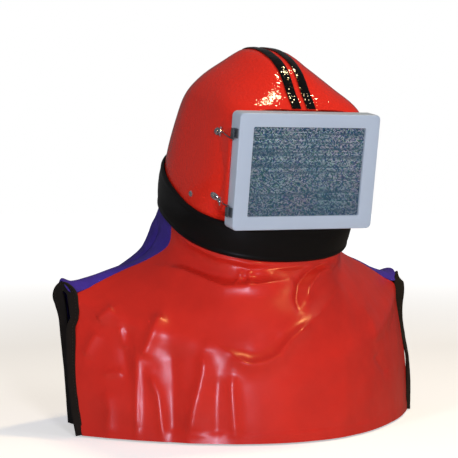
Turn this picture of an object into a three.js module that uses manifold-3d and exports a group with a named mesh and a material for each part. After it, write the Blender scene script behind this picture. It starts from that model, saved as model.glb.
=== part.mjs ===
// Abrasive-blasting helmet with a shoulder cape, in millimetres, +Z up, worn facing -Y.
// The origin is the head seat, the point under the crown where the top of the head bears.
// The helmet is modelled in its own upright axes and bowed forward about the seat; the cape
// hangs from its rim in the upright frame.

import * as THREE from 'three';
import { mergeVertices } from 'three/addons/utils/BufferGeometryUtils.js';
import Module from 'manifold-3d';

const wasm = await Module();
wasm.setup();

// Driving dimensions
const FIT_GAP = 0.3;
const HEAD_BOW = THREE.MathUtils.degToRad(10);
const CROWN_RISE = 28;
const SHELL_WALL = 3;

const WINDOW_REACH = 150;
const WINDOW_DROP = 145;
const FRAME_WIDTH = 200;
const FRAME_HEIGHT = 149;
const FRAME_DEPTH = 24;
const FRAME_CORNER = 8;
const FRAME_BEVEL = 1.6;
const OPENING_WIDTH = 160;
const OPENING_HEIGHT = 114;
const OPENING_CORNER = 2;
const FRAME_LIP = 4;
const REBATE = 4;
const SCREEN_THICK = 1.6;
const PANE_THICK = 3;

const BAND_WIDTH = 45;
const BAND_BACK_WIDER = 20;
const BAND_FRONT_DROP = 267;
const BAND_BACK_DROP = 219;
const RIM_INSIDE_BAND = 10;
const CAPE_TUCK = 26;
const TUCK_GAP = 0.8;

const STRIPE_WIDTH = 13;
const STRIPE_SPACING = 8;
const STRIPE_THICK = 0.8;
const STRIPE_LIFT = 0.9;
const STRIPE_STEPS = 22;
const STRIPE_MIDDLE_Z = -80;
const STRIPE_START = THREE.MathUtils.degToRad(18);
const STRIPE_END = THREE.MathUtils.degToRad(185);

const CAPE_WALL = 1.8;
const SEAM_CLEAR = 0.4;
const CREST_PEAK = 12.2;
const FOLD_TOP = 0.2;
const FOLD_FULL = 0.3;
const FOLD_EDGE = 0.15;
const BINDING_THICK = 4;
const BINDING_FLAT = 0.7;
const BINDING_STEPS = 30;

const RIVET_RADIUS = 4.2;
const RIVET_HIGH = 2.4;
const RIVET_TURN = THREE.MathUtils.degToRad(66.3);
const RIVET_DROP = 191;

const PLATE_LONG = 7.4;
const PLATE_WIDE = 5.4;
const PLATE_HIGH = 2;
const PLATE_TAPER = 0.7;
const SCREW_RADIUS = 2.6;
const SCREW_HIGH = 1.8;
const TONGUE_WIDE = 3;
const TONGUE_THICK = 1.4;
const EYE_AHEAD = 12;
const EYE_HIGH = 3.6;
const BALL_RADIUS = 3;
const PIN_RADIUS = 1.1;
const PIN_LONG = 12;
const WIRE_RADIUS = 0.7;
const WIRE_CLEAR = 1.3;
const WIRE_STEPS = 15;
const WIRE_SIDES = 6;
const WIRE_BEND = 0.15;
const WIRE_HELD = 0.35;
const CLIP_PLACE = 0.33;
const CLIP_TALL = 12;
const HOOK_OUT = 2.85;
const HOOK_BACK = 1.4;

const SHELL_SIDES = 48;
const SHELL_ROWS = 12;
const SHELL_ROW_SPREAD = 1.7;
const FRONT_GRID = { across: 32, down: 22 };
const BACK_GRID = { across: 24, down: 17 };

// Outer sections of the shell, by drop below the crown: half width, reach to the front and back
// of the crown's axis, and the squareness of the front and back halves.
const SHELL_SECTIONS = [
  { drop: 0, half_width: 0, front: 0, back: 0, front_square: 2, back_square: 2 },
  { drop: 6, half_width: 25, front: 27, back: 31, front_square: 2, back_square: 2 },
  { drop: 12, half_width: 35.6, front: 55, back: 44.3, front_square: 2, back_square: 2 },
  { drop: 24, half_width: 52, front: 80, back: 63, front_square: 2.1, back_square: 2 },
  { drop: 48, half_width: 82, front: 104, back: 88, front_square: 3, back_square: 2.1 },
  { drop: 72, half_width: 99, front: 129, back: 104, front_square: 5.6, back_square: 2.2 },
  { drop: 110, half_width: 107, front: 147, back: 127, front_square: 4.8, back_square: 2.2 },
  { drop: 165, half_width: 115, front: 148, back: 144, front_square: 4.4, back_square: 2.2 },
  { drop: 215, half_width: 117, front: 132, back: 145, front_square: 2.9, back_square: 2.2 },
  { drop: 290, half_width: 115, front: 123, back: 142, front_square: 2.35, back_square: 2.2 },
];

// Section of the rim band: how far down its width, and its inner and outer stand-off from the
// shell.
const BAND_SECTION = [
  { down: 0, inner: 0.9, outer: 2.8 },
  { down: 0.1, inner: 1.8, outer: 5.2 },
  { down: 0.42, inner: 3.4, outer: 6.8 },
  { down: 1, inner: 3.4, outer: 5.2 },
];

// Sections of the cape below the band, from the side edge to the middle: flat goes from 0, a half
// ellipse, to 1, a parabola, belly swells the cloth between the middle and the edge, and crest
// raises it over the top of the shoulder.
const FRONT_SECTIONS = [
  { edge_x: 123, edge_y: 38, edge_z: -238, mid_y: -95, mid_z: -278, flat: 0.2, belly: 0, crest: 0 },
  { edge_x: 146, edge_y: 43, edge_z: -255, mid_y: -107, mid_z: -300, flat: 0.5, belly: 0, crest: 0 },
  { edge_x: 188, edge_y: 54, edge_z: -274, mid_y: -117, mid_z: -328, flat: 0.8, belly: 0, crest: 0 },
  { edge_x: 228, edge_y: 64, edge_z: -295, mid_y: -122, mid_z: -356, flat: 1, belly: 0, crest: 0 },
  { edge_x: 247, edge_y: 66, edge_z: -306, mid_y: -125, mid_z: -378, flat: 1, belly: 0, crest: 0 },
  { edge_x: 246, edge_y: 60, edge_z: -330, mid_y: -127, mid_z: -400, flat: 1, belly: 0, crest: 0 },
  { edge_x: 245, edge_y: 53, edge_z: -364, mid_y: -128, mid_z: -425, flat: 1, belly: 0, crest: 0 },
  { edge_x: 244, edge_y: 43, edge_z: -412, mid_y: -129, mid_z: -452, flat: 1, belly: 0, crest: 0 },
  { edge_x: 243, edge_y: 30, edge_z: -485, mid_y: -129, mid_z: -485, flat: 1, belly: 0, crest: 0 },
];
const BACK_SECTIONS = [
  { edge_x: 123, edge_y: 38, edge_z: -238, mid_y: 190, mid_z: -203, flat: 0, belly: 0.07, crest: 0 },
  { edge_x: 146, edge_y: 43, edge_z: -255, mid_y: 194, mid_z: -242, flat: 0.2, belly: 0.04, crest: 1 },
  { edge_x: 188, edge_y: 54, edge_z: -274, mid_y: 199, mid_z: -282, flat: 0.3, belly: 0, crest: 7 },
  { edge_x: 228, edge_y: 64, edge_z: -295, mid_y: 205, mid_z: -318, flat: 0.4, belly: 0, crest: 17 },
  { edge_x: 250, edge_y: 68, edge_z: -300, mid_y: 208, mid_z: -345, flat: 0.5, belly: 0, crest: 21 },
  { edge_x: 257, edge_y: 85, edge_z: -286, mid_y: 210, mid_z: -366, flat: 0.5, belly: 0, crest: 13 },
  { edge_x: 257, edge_y: 104, edge_z: -302, mid_y: 212, mid_z: -390, flat: 0.5, belly: 0, crest: 0 },
  { edge_x: 251, edge_y: 112, edge_z: -352, mid_y: 213, mid_z: -420, flat: 0.5, belly: 0, crest: 0 },
  { edge_x: 240, edge_y: 122.5, edge_z: -412, mid_y: 214, mid_z: -450, flat: 0.5, belly: 0, crest: 0 },
  { edge_x: 231.5, edge_y: 130, edge_z: -485, mid_y: 214, mid_z: -485, flat: 0.5, belly: 0, crest: 0 },
];

// Folds of each panel, as its lines show from the front: a ridge, or a hollow where rise is below
// zero, fading out over its width.
const FRONT_FOLDS = [
  { from_x: -150, from_z: -268, to_x: -95, to_z: -289, width: 11, rise: 4 },
  { from_x: -95, from_z: -289, to_x: -25, to_z: -290, width: 12, rise: 7 },
  { from_x: -25, from_z: -290, to_x: 10, to_z: -279, width: 12, rise: 5 },
  { from_x: -100, from_z: -266, to_x: -5, to_z: -268, width: 11, rise: -4 },
  { from_x: 62, from_z: -270, to_x: 10, to_z: -291, width: 10, rise: -4 },
  { from_x: 10, from_z: -291, to_x: -4, to_z: -325, width: 12, rise: -4 },
  { from_x: -88, from_z: -380, to_x: -48, to_z: -384, width: 13, rise: 7 },
  { from_x: -48, from_z: -384, to_x: -20, to_z: -354, width: 13, rise: 7 },
  { from_x: -20, from_z: -354, to_x: 24, to_z: -328, width: 13, rise: 5 },
  { from_x: -82, from_z: -358, to_x: -45, to_z: -352, width: 14, rise: -5 },
  { from_x: -60, from_z: -412, to_x: 10, to_z: -365, width: 16, rise: -4 },
  { from_x: -158, from_z: -320, to_x: -186, to_z: -388, width: 13, rise: 6 },
  { from_x: -160, from_z: -360, to_x: -163, to_z: -485, width: 15, rise: -4 },
  { from_x: -192, from_z: -395, to_x: -198, to_z: -485, width: 14, rise: 5 },
  { from_x: -122, from_z: -365, to_x: -134, to_z: -485, width: 15, rise: 7 },
  { from_x: -112, from_z: -400, to_x: -108, to_z: -485, width: 12, rise: -4 },
  { from_x: -98, from_z: -392, to_x: -82, to_z: -485, width: 13, rise: 5 },
  { from_x: -226, from_z: -336, to_x: -204, to_z: -310, width: 12, rise: 4 },
  { from_x: 60, from_z: -350, to_x: 70, to_z: -485, width: 30, rise: 5 },
  { from_x: 205, from_z: -380, to_x: 185, to_z: -485, width: 18, rise: 5 },
];
const BACK_FOLDS = [
  { from_x: -95, from_z: -300, to_x: -130, to_z: -485, width: 22, rise: 6 },
  { from_x: -30, from_z: -290, to_x: -40, to_z: -485, width: 22, rise: 5 },
  { from_x: 45, from_z: -300, to_x: 60, to_z: -485, width: 24, rise: 6 },
  { from_x: 110, from_z: -310, to_x: 150, to_z: -485, width: 22, rise: 5 },
];

// Middle line of the binding round the wearer's left arm opening, from the front hem over the
// shoulder to the back hem. Its outer face looks face degrees back from straight sideways.
const ARM_OPENING = [
  { x: 249.5, y: 33.5, z: -485, face: -62, width: 13 },
  { x: 250.5, y: 46.5, z: -412, face: -62, width: 13 },
  { x: 251.5, y: 56.5, z: -364, face: -60, width: 14 },
  { x: 253, y: 64.5, z: -330, face: -50, width: 17 },
  { x: 256.5, y: 72.5, z: -309, face: -28, width: 18 },
  { x: 260, y: 84, z: -295.5, face: 0, width: 18 },
  { x: 259.5, y: 93.5, z: -308, face: -10, width: 17 },
  { x: 254.5, y: 98.5, z: -328, face: -20, width: 16 },
  { x: 246.5, y: 104.5, z: -358, face: -24, width: 15 },
  { x: 237, y: 114, z: -412, face: -24, width: 14 },
  { x: 229.5, y: 122.5, z: -485, face: -20, width: 13 },
];

// The catches of the window frame: the plate on the shell, the clip's rise on the frame's side, and
// the end of the clip that the wire goes in by, 1 above and -1 below.
const CATCHES = [
  { name: 'upper', plate_turn: 48, plate_drop: 102, clip_rise: 48, wire_end: -1 },
  { name: 'lower', plate_turn: 45.5, plate_drop: 184, clip_rise: -52, wire_end: 1 },
];

// Outline of a clip seen from above: how far out from the frame's side and how far back.
const CLIP_OUTLINE = [
  { out: 0, back: -5.5 },
  { out: 0, back: 5.5 },
  { out: 5.6, back: 5.5 },
  { out: 5.6, back: -1.5 },
  { out: 4.2, back: -1.5 },
  { out: 4.2, back: 3 },
  { out: 1.5, back: 3 },
  { out: 1.5, back: -5.5 },
];

// Section of the binding, in shares of half its width and half its thickness.
const BINDING_SECTION = [
  { wide: 1, out: 0 },
  { wide: BINDING_FLAT, out: 1 },
  { wide: -BINDING_FLAT, out: 1 },
  { wide: -1, out: 0 },
  { wide: -BINDING_FLAT, out: -1 },
  { wide: BINDING_FLAT, out: -1 },
];

const colours = {
  shell: { color: 0xc0271c, roughness: 0.28, metalness: 0 },
  black_strip: { color: 0x0d0d0f, roughness: 0.3, metalness: 0 },
  frame: { color: 0xcfd6e2, roughness: 0.45, metalness: 0 },
  screen: { color: 0x6f8496, roughness: 0.4, metalness: 0.8 },
  pane: { color: 0x9fb4c0, roughness: 0.08, metalness: 0 },
  chrome: { color: 0xd5d7da, roughness: 0.12, metalness: 1 },
  dark_steel: { color: 0x3a3d42, roughness: 0.4, metalness: 0.9 },
  rubber: { color: 0x131417, roughness: 0.55, metalness: 0 },
  red_cape: { color: 0xc3281f, roughness: 0.35, metalness: 0 },
  blue_cloth: { color: 0x2a1f7e, roughness: 0.85, metalness: 0 },
  black_cloth: { color: 0x17140f, roughness: 0.9, metalness: 0 },
};

const helmet = new THREE.Group();
helmet.rotation.x = HEAD_BOW;
helmet.updateMatrix();
const group = new THREE.Group();
group.add(helmet);

function add(parent, name, geometry, finish) {
  const mesh = new THREE.Mesh(geometry, new THREE.MeshStandardMaterial(colours[finish]));
  mesh.name = name;
  parent.add(mesh);
  return mesh;
}

// A value of a table's column between its rows, on a smooth curve in the square root of the drop.
function columnAt(rows, column, drop) {
  const place = (row) => Math.sqrt(row.drop);
  const at = Math.sqrt(Math.max(drop, 0));
  let index = rows.findIndex((row) => place(row) > at) - 1;
  if (index < 0) {
    index = rows.length - 2;
  }
  const slope = (i) => {
    const low = rows[Math.max(i - 1, 0)];
    const high = rows[Math.min(i + 1, rows.length - 1)];
    return (high[column] - low[column]) / (place(high) - place(low));
  };
  const start = rows[index];
  const end = rows[index + 1];
  const span = place(end) - place(start);
  const t = (at - place(start)) / span;
  const eased = t * t * (3 - 2 * t);
  const bend = slope(index) * t * (1 - t) ** 2 - slope(index + 1) * t * t * (1 - t);
  return start[column] + (end[column] - start[column]) * eased + span * bend;
}

// A point of the shell's outer surface in the helmet's axes: turn is 0 at the front and grows
// towards the wearer's left, drop is measured down from the crown, off stands out from the shell.
function shellPoint(turn, drop, off = 0) {
  const ahead = Math.cos(turn);
  const aside = Math.sin(turn);
  const half = ahead > 0 ? 'front' : 'back';
  const reach = columnAt(SHELL_SECTIONS, half, drop) + off;
  const width = columnAt(SHELL_SECTIONS, 'half_width', drop) + off;
  const square = columnAt(SHELL_SECTIONS, `${half}_square`, drop);
  const sum = (Math.abs(ahead) / reach) ** square + (Math.abs(aside) / width) ** square;
  const radius = sum ** (-1 / square);
  return new THREE.Vector3(radius * aside, -radius * ahead, CROWN_RISE - drop);
}

function shellNormal(turn, drop) {
  const step = 0.02;
  const along = shellPoint(turn + step, drop).sub(shellPoint(turn - step, drop));
  const down = shellPoint(turn, drop + 1).sub(shellPoint(turn, drop - 1));
  return down.cross(along).normalize();
}

// The band's width, which grows up the shell round to the back.
function bandWidth(turn) {
  const back = (1 - Math.cos(turn)) / 2;
  return BAND_WIDTH + BAND_BACK_WIDER * back * back;
}

// The drop of the band's lower edge, which rises from the front to the back.
function bandDrop(turn) {
  const back = (1 - Math.cos(turn)) / 2;
  return THREE.MathUtils.lerp(BAND_FRONT_DROP, BAND_BACK_DROP, back);
}

function surface(points, faces) {
  const geometry = new THREE.BufferGeometry();
  geometry.setFromPoints(points);
  geometry.setIndex(faces);
  geometry.computeVertexNormals();
  return geometry;
}

// A closed body through rings of equally many points, going round them with the outside to the
// right. Its ends close on an apex point each, or the last ring joins the first.
function loft(rings, firstApex, lastApex) {
  const count = rings[0].length;
  const points = rings.flat();
  const faces = [];
  const joins = firstApex ? rings.length - 1 : rings.length;
  for (let r = 0; r < joins; r += 1) {
    const low = r * count;
    const high = ((r + 1) % rings.length) * count;
    for (let i = 0; i < count; i += 1) {
      const next = (i + 1) % count;
      faces.push(low + i, high + i, high + next, low + i, high + next, low + next);
    }
  }
  if (firstApex) {
    const last = (rings.length - 1) * count;
    points.push(firstApex, lastApex);
    for (let i = 0; i < count; i += 1) {
      const next = (i + 1) % count;
      faces.push(points.length - 2, i, next);
      faces.push(points.length - 1, last + next, last + i);
    }
  }
  return surface(points, faces);
}

const middle = (ring) => ring
  .reduce((sum, point) => sum.add(point), new THREE.Vector3())
  .divideScalar(ring.length);

// A closed sheet from two matching grids of points, outer and inner, rows down and points across.
function sheet(outer, inner) {
  const across = outer[0].length;
  const points = [...outer.flat(), ...inner.flat()];
  const below = outer.length * across;
  const faces = [];
  const quad = (a, b, c, d) => faces.push(a, b, c, a, c, d);
  for (let r = 0; r + 1 < outer.length; r += 1) {
    for (let i = 0; i + 1 < across; i += 1) {
      const a = r * across + i;
      quad(a, a + across, a + across + 1, a + 1);
      quad(below + a, below + a + 1, below + a + across + 1, below + a + across);
    }
    const first = r * across;
    const last = first + across - 1;
    quad(first, below + first, below + first + across, first + across);
    quad(last, last + across, below + last + across, below + last);
  }
  const foot = (outer.length - 1) * across;
  for (let i = 0; i + 1 < across; i += 1) {
    quad(i, i + 1, below + i + 1, below + i);
    quad(foot + i, below + foot + i, below + foot + i + 1, foot + i + 1);
  }
  return surface(points, faces);
}

function solidOf(geometry) {
  const plain = geometry.clone();
  plain.deleteAttribute('normal');
  plain.deleteAttribute('uv');
  const merged = mergeVertices(plain, 1e-4);
  return new wasm.Manifold(new wasm.Mesh({
    numProp: 3,
    vertProperties: new Float32Array(merged.attributes.position.array),
    triVerts: new Uint32Array(merged.index.array),
  }));
}

function geometryOf(solid) {
  const mesh = solid.getMesh();
  const geometry = new THREE.BufferGeometry();
  geometry.setAttribute('position', new THREE.BufferAttribute(mesh.vertProperties, mesh.numProp));
  geometry.setIndex(new THREE.BufferAttribute(mesh.triVerts, 1));
  geometry.computeVertexNormals();
  return geometry;
}

function roundedRectangle(width, height, corner, Path = THREE.Shape) {
  const path = new Path();
  const x = width / 2;
  const y = height / 2;
  path.moveTo(-x + corner, -y);
  path.lineTo(x - corner, -y);
  path.absarc(x - corner, -y + corner, corner, -Math.PI / 2, 0);
  path.lineTo(x, y - corner);
  path.absarc(x - corner, y - corner, corner, 0, Math.PI / 2);
  path.lineTo(-x + corner, y);
  path.absarc(-x + corner, y - corner, corner, Math.PI / 2, Math.PI);
  path.lineTo(-x, -y + corner);
  path.absarc(-x + corner, -y + corner, corner, Math.PI, Math.PI * 1.5);
  return path;
}

// A plate of the window, standing upright from its front face at the given reach to the back.
function uprightPlate(width, height, corner, thick, reach) {
  const shape = roundedRectangle(width, height, corner);
  const geometry = new THREE.ExtrudeGeometry(shape, {
    depth: thick,
    bevelEnabled: false,
    curveSegments: 2,
  });
  geometry.rotateX(Math.PI / 2);
  geometry.translate(0, -reach + thick, CROWN_RISE - WINDOW_DROP);
  return geometry;
}

const turns = (count) => Array.from({ length: count }, (_, i) => (i / count) * 2 * Math.PI);

// The shell: outer wall down to the rim, then the inner wall back up, cut flat behind the frame.
function shell() {
  const round = turns(SHELL_SIDES);
  const wall = (off) => Array.from({ length: SHELL_ROWS }, (_, r) => {
    const share = ((r + 1) / SHELL_ROWS) ** SHELL_ROW_SPREAD;
    return round.map((turn) => shellPoint(turn, (bandDrop(turn) - RIM_INSIDE_BAND) * share, off));
  });
  const inner = wall(-SHELL_WALL).map((ring, r) => {
    const lowered = r + 1 < SHELL_ROWS ? SHELL_WALL * (1 - (r + 1) / SHELL_ROWS) : 0;
    return ring.map((point) => point.setZ(point.z - lowered));
  });
  const top = new THREE.Vector3(0, 0, CROWN_RISE);
  const under = new THREE.Vector3(0, 0, CROWN_RISE - SHELL_WALL);
  const dome = solidOf(loft([...wall(0), ...inner.reverse()], top, under));
  const seat = -WINDOW_REACH + FRAME_DEPTH + FIT_GAP;
  const room = 2 * FRAME_WIDTH;
  const ahead = new THREE.BoxGeometry(room, room, room);
  ahead.translate(0, seat - room / 2, CROWN_RISE - WINDOW_DROP);
  return geometryOf(dome.subtract(solidOf(ahead)));
}

function windowFrame() {
  const shape = roundedRectangle(
    FRAME_WIDTH - 2 * FRAME_BEVEL,
    FRAME_HEIGHT - 2 * FRAME_BEVEL,
    FRAME_CORNER - FRAME_BEVEL,
  );
  shape.holes.push(roundedRectangle(
    OPENING_WIDTH + 2 * FRAME_BEVEL,
    OPENING_HEIGHT + 2 * FRAME_BEVEL,
    OPENING_CORNER,
    THREE.Path,
  ));
  const border = new THREE.ExtrudeGeometry(shape, {
    depth: FRAME_DEPTH - 2 * FRAME_BEVEL,
    bevelThickness: FRAME_BEVEL,
    bevelSize: FRAME_BEVEL,
    bevelSegments: 1,
    curveSegments: 4,
  });
  border.rotateX(Math.PI / 2);
  border.translate(0, -WINDOW_REACH + FRAME_DEPTH - FRAME_BEVEL, CROWN_RISE - WINDOW_DROP);
  const rebate = uprightPlate(
    OPENING_WIDTH + 2 * REBATE,
    OPENING_HEIGHT + 2 * REBATE,
    OPENING_CORNER,
    FRAME_DEPTH,
    WINDOW_REACH - FRAME_LIP,
  );
  return geometryOf(solidOf(border).subtract(solidOf(rebate)));
}

function windowPlate(thick, reach) {
  const room = 2 * (REBATE - FIT_GAP);
  return uprightPlate(OPENING_WIDTH + room, OPENING_HEIGHT + room, OPENING_CORNER, thick, reach);
}

function rimBand() {
  const ring = (row, side) => turns(SHELL_SIDES).map((turn) => {
    const drop = bandDrop(turn) - bandWidth(turn) * (1 - row.down);
    return shellPoint(turn, drop, row[side]);
  });
  const outside = BAND_SECTION.map((row) => ring(row, 'outer'));
  const inside = BAND_SECTION.map((row) => ring(row, 'inner'));
  return loft([...outside, ...inside.reverse()]);
}

// Whether a point is inside the shell's outer surface.
function insideShell(x, y, z) {
  const drop = CROWN_RISE - z;
  if (drop <= 0) {
    return false;
  }
  const onShell = shellPoint(Math.atan2(x, -y), drop);
  return Math.hypot(x, y) < Math.hypot(onShell.x, onShell.y);
}

// The height over a middle point, at an angle up from the front, where a line at a side offset
// leaves the shell.
function archReach(x, angle) {
  let low = 0;
  let high = BAND_FRONT_DROP;
  while (high - low > 1e-3) {
    const reach = (low + high) / 2;
    if (insideShell(x, -reach * Math.cos(angle), STRIPE_MIDDLE_Z + reach * Math.sin(angle))) {
      low = reach;
    } else {
      high = reach;
    }
  }
  return low;
}

// A strip over the crown, from above the frame to the back.
function stripe(side) {
  const near = (side * STRIPE_SPACING) / 2;
  const edges = [near, near + side * STRIPE_WIDTH].sort((a, b) => a - b);
  const rings = [];
  for (let i = 0; i <= STRIPE_STEPS; i += 1) {
    const angle = THREE.MathUtils.lerp(STRIPE_START, STRIPE_END, i / STRIPE_STEPS);
    const corner = (x, off) => {
      const reach = archReach(x, angle) + off;
      return new THREE.Vector3(x, -reach * Math.cos(angle), STRIPE_MIDDLE_Z + reach * Math.sin(angle));
    };
    const top = STRIPE_LIFT + STRIPE_THICK;
    rings.push([
      corner(edges[0], STRIPE_LIFT),
      corner(edges[1], STRIPE_LIFT),
      corner(edges[1], top),
      corner(edges[0], top),
    ]);
  }
  return loft(rings, middle(rings[0]), middle(rings[STRIPE_STEPS]));
}

// A domed rivet standing on the shell.
function rivet(side) {
  const outline = [
    new THREE.Vector2(0, 0),
    new THREE.Vector2(RIVET_RADIUS, 0),
    new THREE.Vector2(RIVET_RADIUS, RIVET_HIGH * 0.3),
    new THREE.Vector2(RIVET_RADIUS * 0.7, RIVET_HIGH * 0.8),
    new THREE.Vector2(0, RIVET_HIGH),
  ];
  const geometry = new THREE.LatheGeometry(outline, 14);
  const normal = shellNormal(side * RIVET_TURN, RIVET_DROP);
  const upright = new THREE.Vector3(0, 1, 0);
  geometry.applyQuaternion(new THREE.Quaternion().setFromUnitVectors(upright, normal));
  const foot = shellPoint(side * RIVET_TURN, RIVET_DROP).addScaledVector(normal, FIT_GAP);
  geometry.translate(foot.x, foot.y, foot.z);
  return mergeClosed(geometry);
}

function mergeClosed(geometry) {
  return geometryOf(solidOf(geometry));
}

// How far the folds raise the cloth at a point of a panel.
function foldRise(folds, point) {
  const seen = new THREE.Vector3(point.x, 0, point.z);
  const rises = folds.map((fold) => {
    const from = new THREE.Vector3(fold.from_x, 0, fold.from_z);
    const to = new THREE.Vector3(fold.to_x, 0, fold.to_z);
    const near = new THREE.Line3(from, to).closestPointToPoint(seen, true, new THREE.Vector3());
    return fold.rise * Math.exp(-((near.distanceTo(seen) / fold.width) ** 2));
  });
  return Math.max(0, ...rises) + Math.min(0, ...rises);
}

// A panel of the cape: for each place across, a smooth line runs from under the band down over
// the sections, and the folds stand out from that, dying away at the band and the side edges.
function capePanel(sections, folds, centreTurn, { across, down }) {
  const outward = centreTurn === 0 ? 1 : -1;
  const shares = Array.from({ length: across + 1 }, (_, i) => (i / across) * 2 - 1);
  const lines = shares.map((share) => capeLine(sections, centreTurn, share * outward, outward));
  const hung = Array.from({ length: down + 1 }, (_, r) => lines.map((line) => line.getPoint(r / down)));
  const facing = gridNormals(hung);
  const outer = hung.map((row, r) => row.map((point, i) => {
    const below = THREE.MathUtils.smoothstep(r / down, FOLD_TOP, FOLD_FULL);
    const inward = THREE.MathUtils.smoothstep(1 - Math.abs(shares[i]), 0, FOLD_EDGE);
    return point.clone().addScaledVector(facing[r][i], foldRise(folds, point) * below * inward);
  }));
  const normals = gridNormals(outer);
  const inner = outer.map((row, r) => row.map((point, i) => (
    point.clone().addScaledVector(normals[r][i], -CAPE_WALL)
  )));
  return sheet(outer, inner);
}

// One line down a panel at a share from -1 to 1 across it.
function capeLine(sections, centreTurn, share, outward) {
  const lean = (share * Math.PI) / 2;
  const turn = centreTurn + outward * lean * (1 - SEAM_CLEAR / FRONT_SECTIONS[0].edge_x);
  const tucked = [CAPE_TUCK, CAPE_TUCK / 2, 1].map((up) => (
    shellPoint(turn, bandDrop(turn) - up, TUCK_GAP + CAPE_WALL).applyMatrix4(helmet.matrix)
  ));
  const hung = sections.map((row) => {
    const side = THREE.MathUtils.lerp(1 - Math.cos(lean), Math.sin(lean) ** 2, row.flat);
    const swell = 1 + row.belly * Math.sin(2 * lean) ** 2;
    const rise = row.crest * CREST_PEAK * side ** 4 * (1 - side);
    const edge_y = row.edge_y - outward * SEAM_CLEAR;
    return new THREE.Vector3(
      row.edge_x * Math.sin(lean) * swell,
      edge_y + (row.mid_y - edge_y) * (1 - side) * swell,
      THREE.MathUtils.lerp(row.mid_z, row.edge_z, side) + rise,
    );
  });
  return new THREE.CatmullRomCurve3([...tucked, ...hung], false, 'centripetal');
}

// Outward unit normals of a grid whose rows go down and points go across to the left.
function gridNormals(grid) {
  const at = (r, i) => grid[THREE.MathUtils.clamp(r, 0, grid.length - 1)][
    THREE.MathUtils.clamp(i, 0, grid[0].length - 1)];
  return grid.map((row, r) => row.map((_, i) => {
    const down = at(r + 1, i).clone().sub(at(r - 1, i));
    const along = at(r, i + 1).clone().sub(at(r, i - 1));
    return down.cross(along).normalize();
  }));
}

// The binding round an arm opening, a flat rounded strip that folds over the panels' edges.
function binding(side) {
  const points = ARM_OPENING.map((row) => new THREE.Vector3(side * row.x, row.y, row.z));
  const faces = ARM_OPENING.map((row) => {
    const face = THREE.MathUtils.degToRad(row.face);
    return new THREE.Vector3(side * Math.cos(face), Math.sin(face), 0);
  });
  const path = new THREE.CatmullRomCurve3(points, false, 'centripetal');
  const facing = new THREE.CatmullRomCurve3(faces, false, 'centripetal');
  const widths = new THREE.SplineCurve(ARM_OPENING.map((row, i) => new THREE.Vector2(i, row.width)));
  const rings = Array.from({ length: BINDING_STEPS + 1 }, (_, i) => {
    const share = i / BINDING_STEPS;
    const along = path.getTangent(share);
    const out = facing.getPoint(share);
    out.addScaledVector(along, -out.dot(along)).normalize();
    const wide = along.clone().cross(out);
    const half = widths.getPoint(share).y / 2;
    return BINDING_SECTION.map((corner) => path.getPoint(share)
      .addScaledVector(wide, corner.wide * half)
      .addScaledVector(out, (corner.out * BINDING_THICK) / 2));
  });
  return loft(rings, middle(rings[0]), middle(rings[BINDING_STEPS]));
}

// A round bar along a curve, closed at its ends.
function bar(curve, radius, steps, sides) {
  const circle = new THREE.EllipseCurve(0, 0, radius, radius).getPoints(sides);
  const outline = new THREE.Shape(circle.slice(1));
  return mergeClosed(new THREE.ExtrudeGeometry(outline, { steps, extrudePath: curve }));
}

// The plate of a catch, lying on the shell with its tongue ahead along X: a screw in the middle,
// and a ball on a cross pin at the tongue's end.
function catchPlate() {
  const base = new THREE.CylinderGeometry(PLATE_WIDE * PLATE_TAPER, PLATE_WIDE, PLATE_HIGH, 12);
  base.rotateX(Math.PI / 2);
  base.scale(PLATE_LONG / PLATE_WIDE, 1, 1);
  base.translate(0, 0, PLATE_HIGH / 2);
  const screw = new THREE.SphereGeometry(SCREW_RADIUS, 8, 4);
  screw.scale(1, 1, SCREW_HIGH / SCREW_RADIUS);
  screw.translate(0, 0, PLATE_HIGH);
  const tongue = new THREE.BoxGeometry(EYE_AHEAD, TONGUE_WIDE, TONGUE_THICK);
  tongue.translate(EYE_AHEAD / 2, 0, PLATE_HIGH - TONGUE_THICK / 2);
  const ball = new THREE.SphereGeometry(BALL_RADIUS, 10, 6);
  ball.translate(EYE_AHEAD, 0, EYE_HIGH);
  const pin = new THREE.CylinderGeometry(PIN_RADIUS, PIN_RADIUS, PIN_LONG, 6);
  pin.translate(EYE_AHEAD, 0, EYE_HIGH);
  const added = [screw, tongue, ball, pin].map(solidOf);
  return geometryOf(added.reduce((sum, piece) => sum.add(piece), solidOf(base)));
}

// The hooked clip of a catch, on the frame's side.
function catchClip(side, seat) {
  const hook = new THREE.Shape(CLIP_OUTLINE.map((row) => new THREE.Vector2(row.out, row.back)));
  const clip = new THREE.ExtrudeGeometry(hook, { depth: CLIP_TALL, bevelEnabled: false });
  clip.translate(0, 0, -CLIP_TALL / 2);
  if (side < 0) {
    clip.rotateY(Math.PI);
  }
  clip.translate(seat.x, seat.y, seat.z);
  return mergeClosed(clip);
}

// The wire hook of a catch: from the plate's ball past one end of the clip, and into its channel.
function catchWire(side, seat, placing, end) {
  const start = new THREE.Vector3(EYE_AHEAD + BALL_RADIUS + WIRE_RADIUS + FIT_GAP, 0, EYE_HIGH)
    .applyMatrix4(placing);
  const hooked = seat.clone().add(new THREE.Vector3(side * HOOK_OUT, HOOK_BACK, 0));
  const level = (rise) => hooked.clone().setZ(hooked.z + end * rise);
  const turned = level(CLIP_TALL / 2 + WIRE_RADIUS + WIRE_CLEAR);
  const line = [start, turned.clone().lerp(start, WIRE_BEND), turned, level(CLIP_TALL / 2),
    level(-CLIP_TALL * WIRE_HELD)];
  return bar(new THREE.CatmullRomCurve3(line, false, 'centripetal'), WIRE_RADIUS, WIRE_STEPS, WIRE_SIDES);
}

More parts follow.
